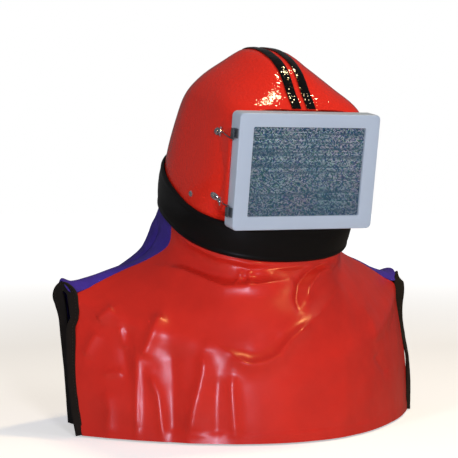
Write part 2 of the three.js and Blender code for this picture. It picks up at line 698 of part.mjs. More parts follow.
// One catch of the window frame, on the side given: plate, clip and wire.
function addCatch(side, sideName, row) {
  const turn = side * THREE.MathUtils.degToRad(row.plate_turn);
  const normal = shellNormal(turn, row.plate_drop);
  const foot = shellPoint(turn, row.plate_drop).addScaledVector(normal, FIT_GAP);
  const seat = new THREE.Vector3(
    side * (FRAME_WIDTH / 2 + FIT_GAP),
    -WINDOW_REACH + FRAME_DEPTH * CLIP_PLACE,
    CROWN_RISE - WINDOW_DROP + row.clip_rise,
  );
  const towards = seat.clone().sub(foot);
  towards.addScaledVector(normal, -towards.dot(normal)).normalize();
  const across = normal.clone().cross(towards);
  const placing = new THREE.Matrix4().makeBasis(towards, across, normal).setPosition(foot);
  const name = `catch_${row.name}_${sideName}`;
  add(helmet, `${name}_plate`, catchPlate().applyMatrix4(placing), 'chrome');
  add(helmet, `${name}_clip`, catchClip(side, seat), 'dark_steel');
  add(helmet, `${name}_wire`, catchWire(side, seat, placing, row.wire_end), 'dark_steel');
}

const SCREEN_REACH = WINDOW_REACH - FRAME_LIP - FIT_GAP;
const PANE_REACH = SCREEN_REACH - SCREEN_THICK - FIT_GAP;

add(helmet, 'shell', shell(), 'shell');
add(helmet, 'window_frame', windowFrame(), 'frame');
add(helmet, 'window_screen', windowPlate(SCREEN_THICK, SCREEN_REACH), 'screen');
add(helmet, 'window_pane', windowPlate(PANE_THICK, PANE_REACH), 'pane');
add(helmet, 'rim_band', rimBand(), 'rubber');
for (const [side, name] of [[-1, 'right'], [1, 'left']]) {
  add(helmet, `stripe_${name}`, stripe(side), 'black_strip');
  add(helmet, `rivet_${name}`, rivet(side), 'chrome');
  CATCHES.forEach((row) => addCatch(side, name, row));
  add(group, `binding_${name}`, binding(side), 'black_cloth');
}
add(group, 'cape_front', capePanel(FRONT_SECTIONS, FRONT_FOLDS, 0, FRONT_GRID), 'red_cape');
add(group, 'cape_back', capePanel(BACK_SECTIONS, BACK_FOLDS, Math.PI, BACK_GRID), 'blue_cloth');

export default group;
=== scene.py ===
"""Abrasive-blasting helmet with its shoulder cape, dressed and lit for a studio picture."""

import logging
import math
from dataclasses import dataclass
from enum import Enum
from typing import Sequence

import bmesh
import bpy
import numpy as np
from mathutils import Matrix, Vector, noise


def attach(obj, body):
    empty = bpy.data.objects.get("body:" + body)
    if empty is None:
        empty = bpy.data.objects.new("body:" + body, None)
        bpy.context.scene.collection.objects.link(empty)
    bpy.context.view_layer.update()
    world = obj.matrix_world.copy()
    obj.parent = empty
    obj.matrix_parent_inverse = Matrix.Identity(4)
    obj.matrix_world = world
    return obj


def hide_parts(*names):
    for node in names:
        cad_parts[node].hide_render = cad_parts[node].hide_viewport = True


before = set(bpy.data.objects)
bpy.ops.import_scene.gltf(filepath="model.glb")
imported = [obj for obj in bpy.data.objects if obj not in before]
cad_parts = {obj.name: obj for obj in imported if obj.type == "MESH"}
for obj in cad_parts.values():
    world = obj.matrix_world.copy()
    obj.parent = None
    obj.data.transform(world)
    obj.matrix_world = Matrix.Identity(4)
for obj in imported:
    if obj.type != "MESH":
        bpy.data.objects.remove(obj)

LOG = logging.getLogger("helmet")
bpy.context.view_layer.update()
BODY = "root"
MM = 0.001
TINY = 1e-6
NEAR = 0.01
CORNER_POINTS = 7
TUBE_OUT = Vector((0.31, 0.67, 0.29))  # A way that no bar here runs along

Colour = tuple[float, float, float, float]
Line = tuple[tuple[float, float], ...]


class Side(Enum):
    """A side of the wearer; the value is the sign of X there."""

    RIGHT = -1
    LEFT = 1

    @property
    def label(self) -> str:
        """The side's name as the pieces carry it."""
        return self.name.lower()


class Facing(Enum):
    """Which way a cape panel faces; the value is the sign that turns front into back."""

    FRONT = 1
    BACK = -1


class Slot(Enum):
    """The record's material slots."""

    SHELL = "shell_red"
    STRIP = "strip_black"
    FRAME = "frame_grey"
    SCREEN = "screen_wire"
    PANE = "pane_clear"
    BAND = "band_rubber"
    CHROME = "chrome"
    STEEL = "dark_steel"
    CAPE_RED = "cape_red"
    CAPE_BLUE = "cape_blue"
    BINDING = "binding_black"


def paint(red: float, green: float, blue: float) -> Colour:
    """Turns a colour as a screen shows it, 0 to 255, into the linear colour a shader takes.

    Args:
        red: Red, 0 to 255.
        green: Green, 0 to 255.
        blue: Blue, 0 to 255.

    Returns:
        The linear colour, opaque.
    """
    def one(value: float) -> float:
        """Turns one channel linear."""
        share = value / 255.0
        return share / 12.92 if share <= 0.04045 else ((share + 0.055) / 1.055) ** 2.4

    return (one(red), one(green), one(blue), 1.0)


def smooth(value: np.ndarray | float, low: float, high: float) -> np.ndarray | float:
    """Eases from 0 at low to 1 at high.

    Args:
        value: Where to read the ease.
        low: Where it starts.
        high: Where it ends.

    Returns:
        The eased share, of the value's own shape.
    """
    share = np.clip((value - low) / (high - low), 0.0, 1.0)
    return share * share * (3.0 - 2.0 * share)


# Shapes shared by the pieces


@dataclass(frozen=True)
class ShellSection:
    """One outer section of the shell, in millimetres: its drop, and its reach about the axis."""

    drop: float
    half_width: float
    front: float
    back: float
    front_square: float
    back_square: float


SHELL_SECTIONS = (
    ShellSection(0, 0, 0, 0, 2, 2),
    ShellSection(6, 29, 35, 35, 2, 2),
    ShellSection(12, 37.5, 57, 46.5, 2, 2),
    ShellSection(24, 52.5, 80, 63.5, 2.1, 2),
    ShellSection(48, 82, 104, 88, 3, 2.1),
    ShellSection(72, 99, 129, 104, 5.6, 2.2),
    ShellSection(110, 107, 147, 127, 4.8, 2.2),
    ShellSection(165, 115, 148, 144, 4.4, 2.2),
    ShellSection(215, 117, 132, 145, 2.9, 2.2),
    ShellSection(290, 115, 123, 142, 2.35, 2.2),
)


@dataclass(frozen=True)
class HelmetForm:
    """The moulded form of the helmet in its own upright axes, in millimetres."""

    crown_rise: float = 28.0
    crown_flat: float = 4.0
    bow_degrees: float = 10.0
    band_front_drop: float = 267.0
    band_back_drop: float = 219.0
    window_reach: float = 150.0
    window_drop: float = 145.0
    frame_depth: float = 24.0
    normal_turn: float = 0.02
    normal_drop: float = 1.0
    sections: tuple[ShellSection, ...] = SHELL_SECTIONS

    @property
    def matrix(self) -> Matrix:
        """Takes the helmet's millimetres to the row frame: bowed about the head seat, in metres."""
        return Matrix.Rotation(math.radians(self.bow_degrees), 4, "X") @ Matrix.Scale(MM, 4)

    @property
    def window_z(self) -> float:
        """The height of the window's middle."""
        return self.crown_rise - self.window_drop

    def column(self, name: str, drop: float) -> float:
        """Reads a column of the sections on a curve in the square root of the drop.

        Args:
            name: The column.
            drop: Millimetres below the crown.

        Returns:
            The column's value there.
        """
        rows = self.sections
        at = math.sqrt(max(drop, 0.0))
        places = [math.sqrt(row.drop) for row in rows]
        values = [getattr(row, name) for row in rows]
        index = next((i for i, place in enumerate(places) if place > at), len(rows) - 1) - 1
        last = len(rows) - 1

        def slope(i: int) -> float:
            """Gives the curve's slope at a row."""
            low, high = max(i - 1, 0), min(i + 1, last)
            return (values[high] - values[low]) / (places[high] - places[low])

        span = places[index + 1] - places[index]
        t = (at - places[index]) / span
        eased = t * t * (3 - 2 * t)
        bend = slope(index) * t * (1 - t) ** 2 - slope(index + 1) * t * t * (1 - t)
        return values[index] + (values[index + 1] - values[index]) * eased + span * bend

    def point(self, turn: float, drop: float, off: float = 0.0) -> Vector:
        """Gives a point of the shell's outer surface.

        Args:
            turn: Angle about the crown's axis, 0 at the front, growing to the wearer's left.
            drop: Millimetres below the crown.
            off: How far it stands out from the shell.

        Returns:
            The point in the helmet's axes.
        """
        ahead, aside = math.cos(turn), math.sin(turn)
        half = "front" if ahead > 0 else "back"
        reach = self.column(half, drop) + off
        width = self.column("half_width", drop) + off
        z = self.crown_rise - math.hypot(drop, self.crown_flat)
        if min(reach, width) < TINY:
            return Vector((0.0, 0.0, z))
        square = self.column(f"{half}_square", drop)
        total = (abs(ahead) / reach) ** square + (abs(aside) / width) ** square
        radius = total ** (-1.0 / square)
        return Vector((radius * aside, -radius * ahead, z))

    def normal(self, turn: float, drop: float) -> Vector:
        """Gives the shell's outward normal at a place."""
        aside, step = self.normal_turn, self.normal_drop
        along = self.point(turn + aside, drop) - self.point(turn - aside, drop)
        down = self.point(turn, drop + step) - self.point(turn, drop - step)
        return down.cross(along).normalized()

    def band_drop(self, turn: float) -> float:
        """Gives the drop of the band's lower edge, which rises to the back."""
        back = (1.0 - math.cos(turn)) / 2.0
        return self.band_front_drop + (self.band_back_drop - self.band_front_drop) * back


def curve_point(points: Sequence[Vector], share: float) -> Vector:
    """Gives a point on the smooth centripetal curve through a row of points.

    Args:
        points: The points that the curve passes through.
        share: How far along, from 0 to 1, with equal shares between points.

    Returns:
        The point on the curve.
    """
    last = len(points) - 1
    index = min(int(share * last), last - 1)
    t = share * last - index
    b, c = points[index], points[index + 1]
    a = points[index - 1] if index > 0 else b * 2 - c
    d = points[index + 2] if index + 2 <= last else c * 2 - b
    one, two, three = (
        max((end - start).length, TINY) ** 0.5 for start, end in ((a, b), (b, c), (c, d))
    )
    leave = ((b - a) / one - (c - a) / (one + two) + (c - b) / two) * two
    arrive = ((c - b) / two - (d - b) / (two + three) + (d - c) / three) * two
    square = (c - b) * 3 - leave * 2 - arrive
    cube = (b - c) * 2 + leave + arrive
    return b + leave * t + square * t * t + cube * t ** 3


# Mesh tools


def edges_round(ring: Sequence[bmesh.types.BMVert]) -> list[bmesh.types.BMEdge]:
    """Gives the edges between neighbours round a closed ring of vertices."""
    turned = [*ring[1:], ring[0]]
    return [next(e for e in a.link_edges if e.other_vert(a) is b) for a, b in zip(ring, turned)]


def verts_of(geometry: Sequence[object]) -> list[bmesh.types.BMVert]:
    """Picks the vertices out of what an operator made."""
    return [item for item in geometry if isinstance(item, bmesh.types.BMVert)]


def ease(
    bm: bmesh.types.BMesh, edges: Sequence[bmesh.types.BMEdge], offset: float, segments: int = 2
) -> None:
    """Bevels edges round, in so many segments."""
    bmesh.ops.bevel(
        bm, geom=edges, offset=offset, segments=segments, profile=0.5, affect="EDGES", material=-1,
    )


def spin_line(
    bm: bmesh.types.BMesh, points: Sequence[Sequence[float]], steps: int, merge: float
) -> None:
    """Spins a line of points once round Z and merges where it meets itself.

    Args:
        bm: The empty mesh that it goes into.
        points: The line's points.
        steps: How many steps the turn has.
        merge: How near vertices become one.
    """
    verts = [bm.verts.new(point) for point in points]
    edges = [bm.edges.new(pair) for pair in zip(verts, verts[1:])]
    bmesh.ops.spin(
        bm, geom=[*verts, *edges], cent=(0, 0, 0), axis=(0, 0, 1), angle=2 * math.pi,
        steps=steps, use_merge=True,
    )
    bmesh.ops.remove_doubles(bm, verts=bm.verts[:], dist=merge)


def loft(
    bm: bmesh.types.BMesh, rings: Sequence[Sequence[Vector]], joined: bool
) -> list[bmesh.types.BMVert]:
    """Extrudes a ring of edges out through a row of rings.

    Args:
        bm: The mesh that it is added to.
        rings: Rings of equally many points, in order.
        joined: Whether the last ring meets the first; if not, both ends are filled.

    Returns:
        The vertices that were made.
    """
    seed = bmesh.ops.create_circle(bm, cap_ends=False, segments=len(rings[0]), radius=1.0)
    ring = first = list(seed["verts"])
    made = list(ring)
    for vert, place in zip(ring, rings[0]):
        vert.co = place
    for points in rings[1:]:
        fresh = set(verts_of(bmesh.ops.extrude_edge_only(bm, edges=edges_round(ring))["geom"]))
        ring = [
            next(e.other_vert(v) for e in v.link_edges if e.other_vert(v) in fresh) for v in ring
        ]
        for vert, place in zip(ring, points):
            vert.co = place
        made.extend(ring)
    if joined:
        bmesh.ops.bridge_loops(bm, edges=edges_round(ring) + edges_round(first))
    else:
        for end in (first, ring):
            bmesh.ops.edgeloop_fill(bm, edges=edges_round(end))
    bmesh.ops.recalc_face_normals(bm, faces=bm.faces[:])
    return made


def tube_rings(path: Sequence[Vector], radius: float, sides: int) -> list[list[Vector]]:
    """Gives the rings of a round bar along a path, without twist.

    Args:
        path: The bar's middle line.
        radius: The bar's radius.
        sides: How many points each ring has.

    Returns:
        One ring for each point of the path.
    """
    rings = []
    out = TUBE_OUT
    angles = [2 * math.pi * k / sides for k in range(sides)]
    for i, place in enumerate(path):
        along = (path[min(i + 1, len(path) - 1)] - path[max(i - 1, 0)]).normalized()
        out = (out - along * out.dot(along)).normalized()
        aside = along.cross(out)
        rings.append([place + (out * math.cos(a) + aside * math.sin(a)) * radius for a in angles])
    return rings


def rounded_ring(
    width: float, height: float, corner: float, reach: float, z: float
) -> list[Vector]:
    """Gives a rounded rectangle of points, upright and facing the front.

    Args:
        width: Its width.
        height: Its height.
        corner: The radius of its corners.
        reach: How far in front of the crown's axis it stands.
        z: The height of its middle.

    Returns:
        The points, in order round it.
    """
    ring = []
    for quarter, (sx, sz) in enumerate(((1, 1), (-1, 1), (-1, -1), (1, -1))):
        for k in range(CORNER_POINTS):
            angle = (quarter + k / (CORNER_POINTS - 1)) * math.pi / 2
            x = sx * (width / 2 - corner) + corner * math.cos(angle)
            up = sz * (height / 2 - corner) + corner * math.sin(angle)
            ring.append(Vector((x, -reach, z + up)))
    return ring


def make_piece(
    bm: bmesh.types.BMesh,
    placing: Matrix,
    name: str,
    material: bpy.types.Material,
    nodes: Sequence[str] = (),
    crease: float = 38.0,
) -> bpy.types.Object:
    """Turns a mesh under construction into a piece that rides on the object.

    Args:
        bm: The mesh; it is freed.
        placing: What takes it to the row frame, in metres.
        name: The piece's name.
        material: Its finish.
        nodes: The solids that it stands for.
        crease: Degrees above which an edge stays sharp.

    Returns:
        The piece.
    """
    bmesh.ops.transform(bm, matrix=placing, verts=bm.verts[:])
    mesh = bpy.data.meshes.new(name)
    bm.to_mesh(mesh)
    bm.free()
    mesh.shade_smooth()
    mesh.set_sharp_from_angle(angle=math.radians(crease))
    mesh.materials.append(material)
    obj = bpy.data.objects.new(name, mesh)
    bpy.context.scene.collection.objects.link(obj)
    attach(obj, BODY)
    if nodes:
        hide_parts(*nodes)
    LOG.info("%s: %d faces", name, len(mesh.polygons))
    return obj


# Finishes

Socket = tuple[bpy.types.Node, str | int]


class Board:
    """Lays shader nodes into one tree."""

    def __init__(self, tree: bpy.types.NodeTree) -> None:
        """Keeps the tree that the nodes go into."""
        self.tree = tree

    def add(
        self, kind: str, values: dict[str | int, object] | None = None, **settings: object
    ) -> bpy.types.Node:
        """Adds a node.

        Args:
            kind: The node's type, without its ShaderNode prefix.
            values: Values of its input sockets, by name or number.
            **settings: Its own properties, such as the tree of a group.

        Returns:
            The node.
        """
        node = self.tree.nodes.new(f"ShaderNode{kind}")
        for key, value in settings.items():
            setattr(node, key, value)
        for key, value in (values or {}).items():
            node.inputs[key].default_value = value
        return node

    def wire(self, *links: tuple[bpy.types.Node, str | int, bpy.types.Node, str | int]) -> None:
        """Links sockets, each link a node and its output and then a node and its input."""
        for source, out, target, into in links:
            self.tree.links.new(source.outputs[out], target.inputs[into])

    def insert(self, shader: bpy.types.Node, name: str, entry: Socket, leave: Socket) -> None:
        """Puts nodes between an input of the shader and what feeds it.

        Args:
            shader: The shader.
            name: Its input.
            entry: The first node, and the input that takes what fed the shader.
            leave: The last node, and the output that then feeds the shader.
        """
        fed_by = shader.inputs[name].links[0].from_socket
        self.tree.links.new(fed_by, entry[0].inputs[entry[1]])
        self.wire((*leave, shader, name))


def start_group(
    name: str, inputs: Sequence[tuple[str, str]], outputs: Sequence[tuple[str, str]]
) -> tuple[bpy.types.NodeTree, Board, bpy.types.Node, bpy.types.Node]:
    """Starts a shared effect.

    Args:
        name: The effect's name.
        inputs: Its inputs, as names and socket kinds.
        outputs: Its outputs, the same.

    Returns:
        The node group, a board on it, and its input and output nodes.
    """
    tree = bpy.data.node_groups.new(name, "ShaderNodeTree")
    for way, sockets in (("INPUT", inputs), ("OUTPUT", outputs)):
        for label, kind in sockets:
            tree.interface.new_socket(label, in_out=way, socket_type=f"NodeSocket{kind}")
    entry = tree.nodes.new("NodeGroupInput")
    leave = tree.nodes.new("NodeGroupOutput")
    return tree, Board(tree), entry, leave


class Effects:
    """The effects that several finishes share, each built once."""

    def __init__(self) -> None:
        """Builds the node groups."""
        self.drift = self._drift()
        self.grain = self._grain()
        self.weave = self._weave()
        self.scuff = self._scuff()

    @staticmethod
    def _drift() -> bpy.types.NodeTree:
        """Builds slow clouds between a tone and a deeper one."""
        tree, board, entry, leave = start_group(
            "tone_drift",
            (("Tone", "Color"), ("Deep", "Color"), ("Scale", "Float"), ("Amount", "Float")),
            (("Color", "Color"),),
        )
        place = board.add("TexCoord")
        cloud = board.add("TexNoise", {"Detail": 5.0, "Roughness": 0.6})
        spread = board.add("MapRange", {"From Min": 0.35, "From Max": 0.7})
        share = board.add("Math", operation="MULTIPLY")
        mix = board.add("Mix", data_type="RGBA")
        board.wire(
            (place, "Object", cloud, "Vector"), (entry, "Scale", cloud, "Scale"),
            (cloud, "Fac", spread, "Value"), (spread, "Result", share, 0),
            (entry, "Amount", share, 1), (share, 0, mix, "Factor"),
            (entry, "Tone", mix, "A"), (entry, "Deep", mix, "B"), (mix, "Result", leave, "Color"),
        )
        return tree

    @staticmethod
    def _grain() -> bpy.types.NodeTree:
        """Builds a fine grain: a height, and a roughness about a middle value."""
        tree, board, entry, leave = start_group(
            "surface_grain",
            (("Scale", "Float"), ("Rough", "Float"), ("Swing", "Float")),
            (("Height", "Float"), ("Roughness", "Float")),
        )
        place = board.add("TexCoord")
        fine = board.add("TexNoise", {"Detail": 1.0, "Roughness": 0.45})
        slow = board.add("TexNoise", {"Scale": 38.0, "Detail": 3.0})
        centred = board.add("Math", {1: 0.5}, operation="SUBTRACT")
        swung = board.add("Math", operation="MULTIPLY_ADD")
        board.wire(
            (place, "Object", fine, "Vector"), (place, "Object", slow, "Vector"),
            (entry, "Scale", fine, "Scale"), (slow, "Fac", centred, 0), (centred, 0, swung, 0),
            (entry, "Swing", swung, 1), (entry, "Rough", swung, 2),
            (fine, "Fac", leave, "Height"), (swung, 0, leave, "Roughness"),
        )
        return tree

    @staticmethod
    def _weave() -> bpy.types.NodeTree:
        """Builds the height of a plain weave in the first two coordinates."""
        tree, board, entry, leave = start_group(
            "plain_weave", (("Vector", "Vector"), ("Threads", "Float")), (("Height", "Float"),)
        )
        split = board.add("SeparateXYZ")
        cross = board.add("Math", operation="MULTIPLY")
        lifted = board.add("MapRange", {"From Min": -1.0, "From Max": 1.0})
        for number, axis in enumerate(("X", "Y")):
            turn = board.add("Math", operation="MULTIPLY")
            wave = board.add("Math", operation="SINE")
            board.wire(
                (split, axis, turn, 0), (entry, "Threads", turn, 1), (turn, 0, wave, 0),
                (wave, 0, cross, number),
            )
        board.wire(
            (entry, "Vector", split, 0), (cross, 0, lifted, "Value"),
            (lifted, "Result", leave, "Height"),
        )
        return tree

    @staticmethod
    def _scuff() -> bpy.types.NodeTree:
        """Builds sparse rubbed patches as a mask."""
        tree, board, entry, leave = start_group(
            "rubbed_patches", (("Scale", "Float"), ("Amount", "Float")), (("Mask", "Float"),)
        )
        place = board.add("TexCoord")
        stretch = board.add("Mapping", {"Scale": (1.0, 1.0, 2.6)})
        cloud = board.add("TexNoise", {"Detail": 8.0, "Roughness": 0.72, "Distortion": 0.4})
        sparse = board.add("MapRange", {"From Min": 0.58, "From Max": 0.74})
        share = board.add("Math", operation="MULTIPLY")
        board.wire(
            (place, "Object", stretch, "Vector"), (stretch, "Vector", cloud, "Vector"),
            (entry, "Scale", cloud, "Scale"), (cloud, "Fac", sparse, "Value"),
            (sparse, "Result", share, 0), (entry, "Amount", share, 1), (share, 0, leave, "Mask"),
        )
        return tree


@dataclass(frozen=True)
class Finish:
    """What every finish has: a tone that drifts to a deeper one, a gloss and a grain."""

    name: str
    tone: Colour
    deep: Colour
    roughness: float
    swing: float = 0.1
    drift_scale: float = 9.0
    drift: float = 0.5
    grain_scale: float = 400.0
    grain_bump: float = 0.1
    grain_depth: float = 0.0004

    def material(self, effects: Effects) -> bpy.types.Material:
        """Builds the finish.

        Args:
            effects: The shared node groups.

        Returns:
            The material.
        """
        material = bpy.data.materials.new(self.name)
        material.use_nodes = True
        board = Board(material.node_tree)
        shader = material.node_tree.nodes["Principled BSDF"]
        tones = {
            "Tone": self.tone, "Deep": self.deep, "Scale": self.drift_scale, "Amount": self.drift,
        }
        gloss = {"Scale": self.grain_scale, "Rough": self.roughness, "Swing": self.swing}
        drift = board.add("Group", tones, node_tree=effects.drift)
        grain = board.add("Group", gloss, node_tree=effects.grain)
        bump = board.add("Bump", {"Strength": self.grain_bump, "Distance": self.grain_depth})
        board.wire(
            (drift, "Color", shader, "Base Color"), (grain, "Roughness", shader, "Roughness"),
            (grain, "Height", bump, "Height"), (bump, "Normal", shader, "Normal"),
        )
        self.dress(board, shader, effects)
        return material

    def dress(self, board: Board, shader: bpy.types.Node, effects: Effects) -> None:
        """Adds what only this kind of finish has; a plain one adds nothing."""


@dataclass(frozen=True)
class Moulded(Finish):
    """A moulded plastic or lacquer with rubbed patches that dull its gloss."""

    specular: float = 0.5
    rub: float = 0.12
    rub_scale: float = 26.0

    def dress(self, board: Board, shader: bpy.types.Node, effects: Effects) -> None:
        """Dulls the rubbed patches."""
        shader.inputs["Specular IOR Level"].default_value = self.specular
        patches = {"Scale": self.rub_scale, "Amount": self.rub}
        scuff = board.add("Group", patches, node_tree=effects.scuff)
        added = board.add("Math", operation="ADD", use_clamp=True)
        board.insert(shader, "Roughness", (added, 0), (added, 0))
        board.wire((scuff, "Mask", added, 1))


@dataclass(frozen=True)
class Plated(Finish):
    """A plated metal; plating that is dulled shows less metal."""

    metal: float = 1.0

    def dress(self, board: Board, shader: bpy.types.Node, effects: Effects) -> None:
        """Makes it metal."""
        shader.inputs["Metallic"].default_value = self.metal


@dataclass(frozen=True)
class Woven(Plated):
    """Dulled wire cloth with a painted glint of its own on each knuckle, with some level wires
    duller.
    """

    metal: float = 0.3
    shade: Colour = paint(72, 114, 146)
    knuckle: tuple[float, float, float] = (0.0016, 1.0, 0.0012)
    # How strongly the painted glints on the knuckles are tinted
    hue: float = 0.7
    line_scale: float = 300.0
    line_depth: float = 0.7
    # Where the cloth starts darkening towards its foot, where it is darkest, and how dark it gets
    darken_top: float = -0.1
    darken_low: float = -0.2
    foot_darken: float = 0.55

    def dress(self, board: Board, shader: bpy.types.Node, effects: Effects) -> None:
        """Paints a glint of random brightness and tint on each knuckle, dulls some level wires and
        darkens the cloth towards its foot.
        """
        super().dress(board, shader, effects)
        place = board.add("TexCoord")
        # Painted glints: each knuckle gets a random brightness from the dark shade colour up to the
        # tone, and a random tint, painted in place of the light the wires catch
        cell = board.add("VectorMath", {1: self.knuckle}, operation="SNAP")
        chance = board.add("TexWhiteNoise", noise_dimensions="3D")
        spread = board.add(
            "MapRange", {"From Min": 0.25, "From Max": 0.85}, interpolation_type="SMOOTHSTEP",
        )
        knuckle_glint = board.add("Mix", {"A": self.shade}, data_type="RGBA")
        glint_tint = board.add("Mix", {"Factor": self.hue}, data_type="RGBA", blend_type="SOFT_LIGHT")
        level = board.add("Mapping", {"Scale": (0.02, 0.02, 1.0)})
        lines = board.add("TexNoise", {"Scale": self.line_scale, "Detail": 1.0})
        sparse = board.add("MapRange", {
            "From Min": 0.46, "From Max": 0.66, "To Max": self.line_depth,
        })
        split = board.add("SeparateXYZ")
        # Darker towards the foot of the cloth, by height alone
        foot = board.add("MapRange", {
            "From Min": self.darken_top, "From Max": self.darken_low, "To Max": self.foot_darken,
        })
        worst = board.add("Math", operation="MAXIMUM")
        dulled = board.add("Mix", {"B": self.shade}, data_type="RGBA")
        board.insert(shader, "Base Color", (knuckle_glint, "B"), (dulled, "Result"))
        board.wire(
            (place, "Object", cell, 0), (cell, "Vector", chance, "Vector"),
            (chance, "Value", spread, "Value"), (spread, "Result", knuckle_glint, "Factor"),
            (knuckle_glint, "Result", glint_tint, "A"), (chance, "Color", glint_tint, "B"),
            (place, "Object", level, "Vector"), (level, "Vector", lines, "Vector"),
            (lines, "Fac", sparse, "Value"), (place, "Object", split, 0),
            (split, "Z", foot, "Value"), (sparse, "Result", worst, 0), (foot, "Result", worst, 1),
            (worst, 0, dulled, "Factor"), (glint_tint, "Result", dulled, "A"),
        )


@dataclass(frozen=True)
class Cloth(Finish):
    """A woven cloth, plain or coated, with its threads on the piece's own map."""

    threads: float = 6000.0
    thread_bump: float = 0.3
    thread_depth: float = 0.0002
    sheen: float = 0.0
    specular: float = 0.3

    def dress(self, board: Board, shader: bpy.types.Node, effects: Effects) -> None:
        """Lays the weave under the grain and gives the cloth its sheen."""
        shader.inputs["Specular IOR Level"].default_value = self.specular
        shader.inputs["Sheen Weight"].default_value = self.sheen
        cloth_map = board.add("UVMap")
        weave = board.add("Group", {"Threads": self.threads}, node_tree=effects.weave)
        threads = board.add("Bump", {"Strength": self.thread_bump, "Distance": self.thread_depth})
        grain = shader.inputs["Normal"].links[0].from_node
        board.wire(
            (cloth_map, "UV", weave, "Vector"), (weave, "Height", threads, "Height"),
            (threads, "Normal", grain, "Normal"),
        )


@dataclass(frozen=True)
class Pane(Finish):
    """A smoked clear sheet."""

    transmission: float = 0.4
    ior: float = 1.5

    def dress(self, board: Board, shader: bpy.types.Node, effects: Effects) -> None:
        """Lets some light through."""
        shader.inputs["Transmission Weight"].default_value = self.transmission
        shader.inputs["IOR"].default_value = self.ior


SHELL_RED = Moulded(
    "shell_red", paint(222, 44, 29), paint(212, 39, 26), 0.06, swing=0.03,
    grain_scale=240.0, grain_bump=0.75, grain_depth=0.001, rub=0.05,
)
STRIP_BLACK = Moulded(
    "strip_black", paint(6, 6, 5), paint(4, 4, 4), 0.06, swing=0.03,
    grain_scale=240.0, grain_bump=0.75, grain_depth=0.001,
)
FRAME_GREY = Moulded(
    "frame_grey", paint(171, 186, 206), paint(165, 180, 200), 0.45,
    grain_scale=900.0, grain_bump=0.06, specular=0.3, rub=0.15, rub_scale=40.0,
)
BAND_RUBBER = Moulded(
    "band_rubber", paint(13, 12, 13), paint(8, 8, 9), 0.32,
    grain_scale=700.0, grain_bump=0.12, specular=0.3, rub=0.2, rub_scale=18.0,
)
SCREEN_WIRE = Woven(
    "screen_wire", paint(186, 242, 255), paint(228, 224, 240), 0.5, drift_scale=20.0, drift=0.8,
)
# Chrome: its much darker deep tone, laid in small close patches, is painted reflection of dark
# surroundings
CHROME = Plated(
    "chrome", paint(240, 243, 248), paint(84, 90, 98), 0.15, drift_scale=260.0, drift=0.9,
    grain_bump=0.03, metal=0.86,
)
DARK_STEEL = Plated(
    "dark_steel", paint(112, 121, 131), paint(70, 77, 84), 0.28, grain_bump=0.12, metal=0.7,
)
PANE_SMOKE = Pane("pane_smoke", paint(34, 48, 62), paint(24, 36, 50), 0.08, grain_bump=0.0)
CAPE_RED = Cloth(
    "cape_red", paint(208, 42, 31), paint(174, 32, 24), 0.3, drift_scale=14.0,
    grain_scale=520.0, threads=5200.0, thread_bump=0.08, specular=0.5,
)
CAPE_BLUE = Cloth(
    "cape_blue", paint(64, 44, 160), paint(40, 26, 112), 0.82, drift_scale=24.0, drift=0.7,
    grain_scale=1500.0, grain_bump=0.2, threads=5200.0, thread_bump=0.5, sheen=0.03,
)
BINDING_BLACK = Cloth(
    "binding_black", paint(22, 18, 15), paint(14, 12, 10), 0.86, drift_scale=60.0,
    grain_scale=1500.0, grain_bump=0.3, threads=4200.0, thread_bump=0.6, sheen=0.03,
)
THREAD_BLACK = Cloth("thread_black", paint(40, 36, 31), paint(28, 25, 21), 0.6, threads=9000.0)


# Helmet


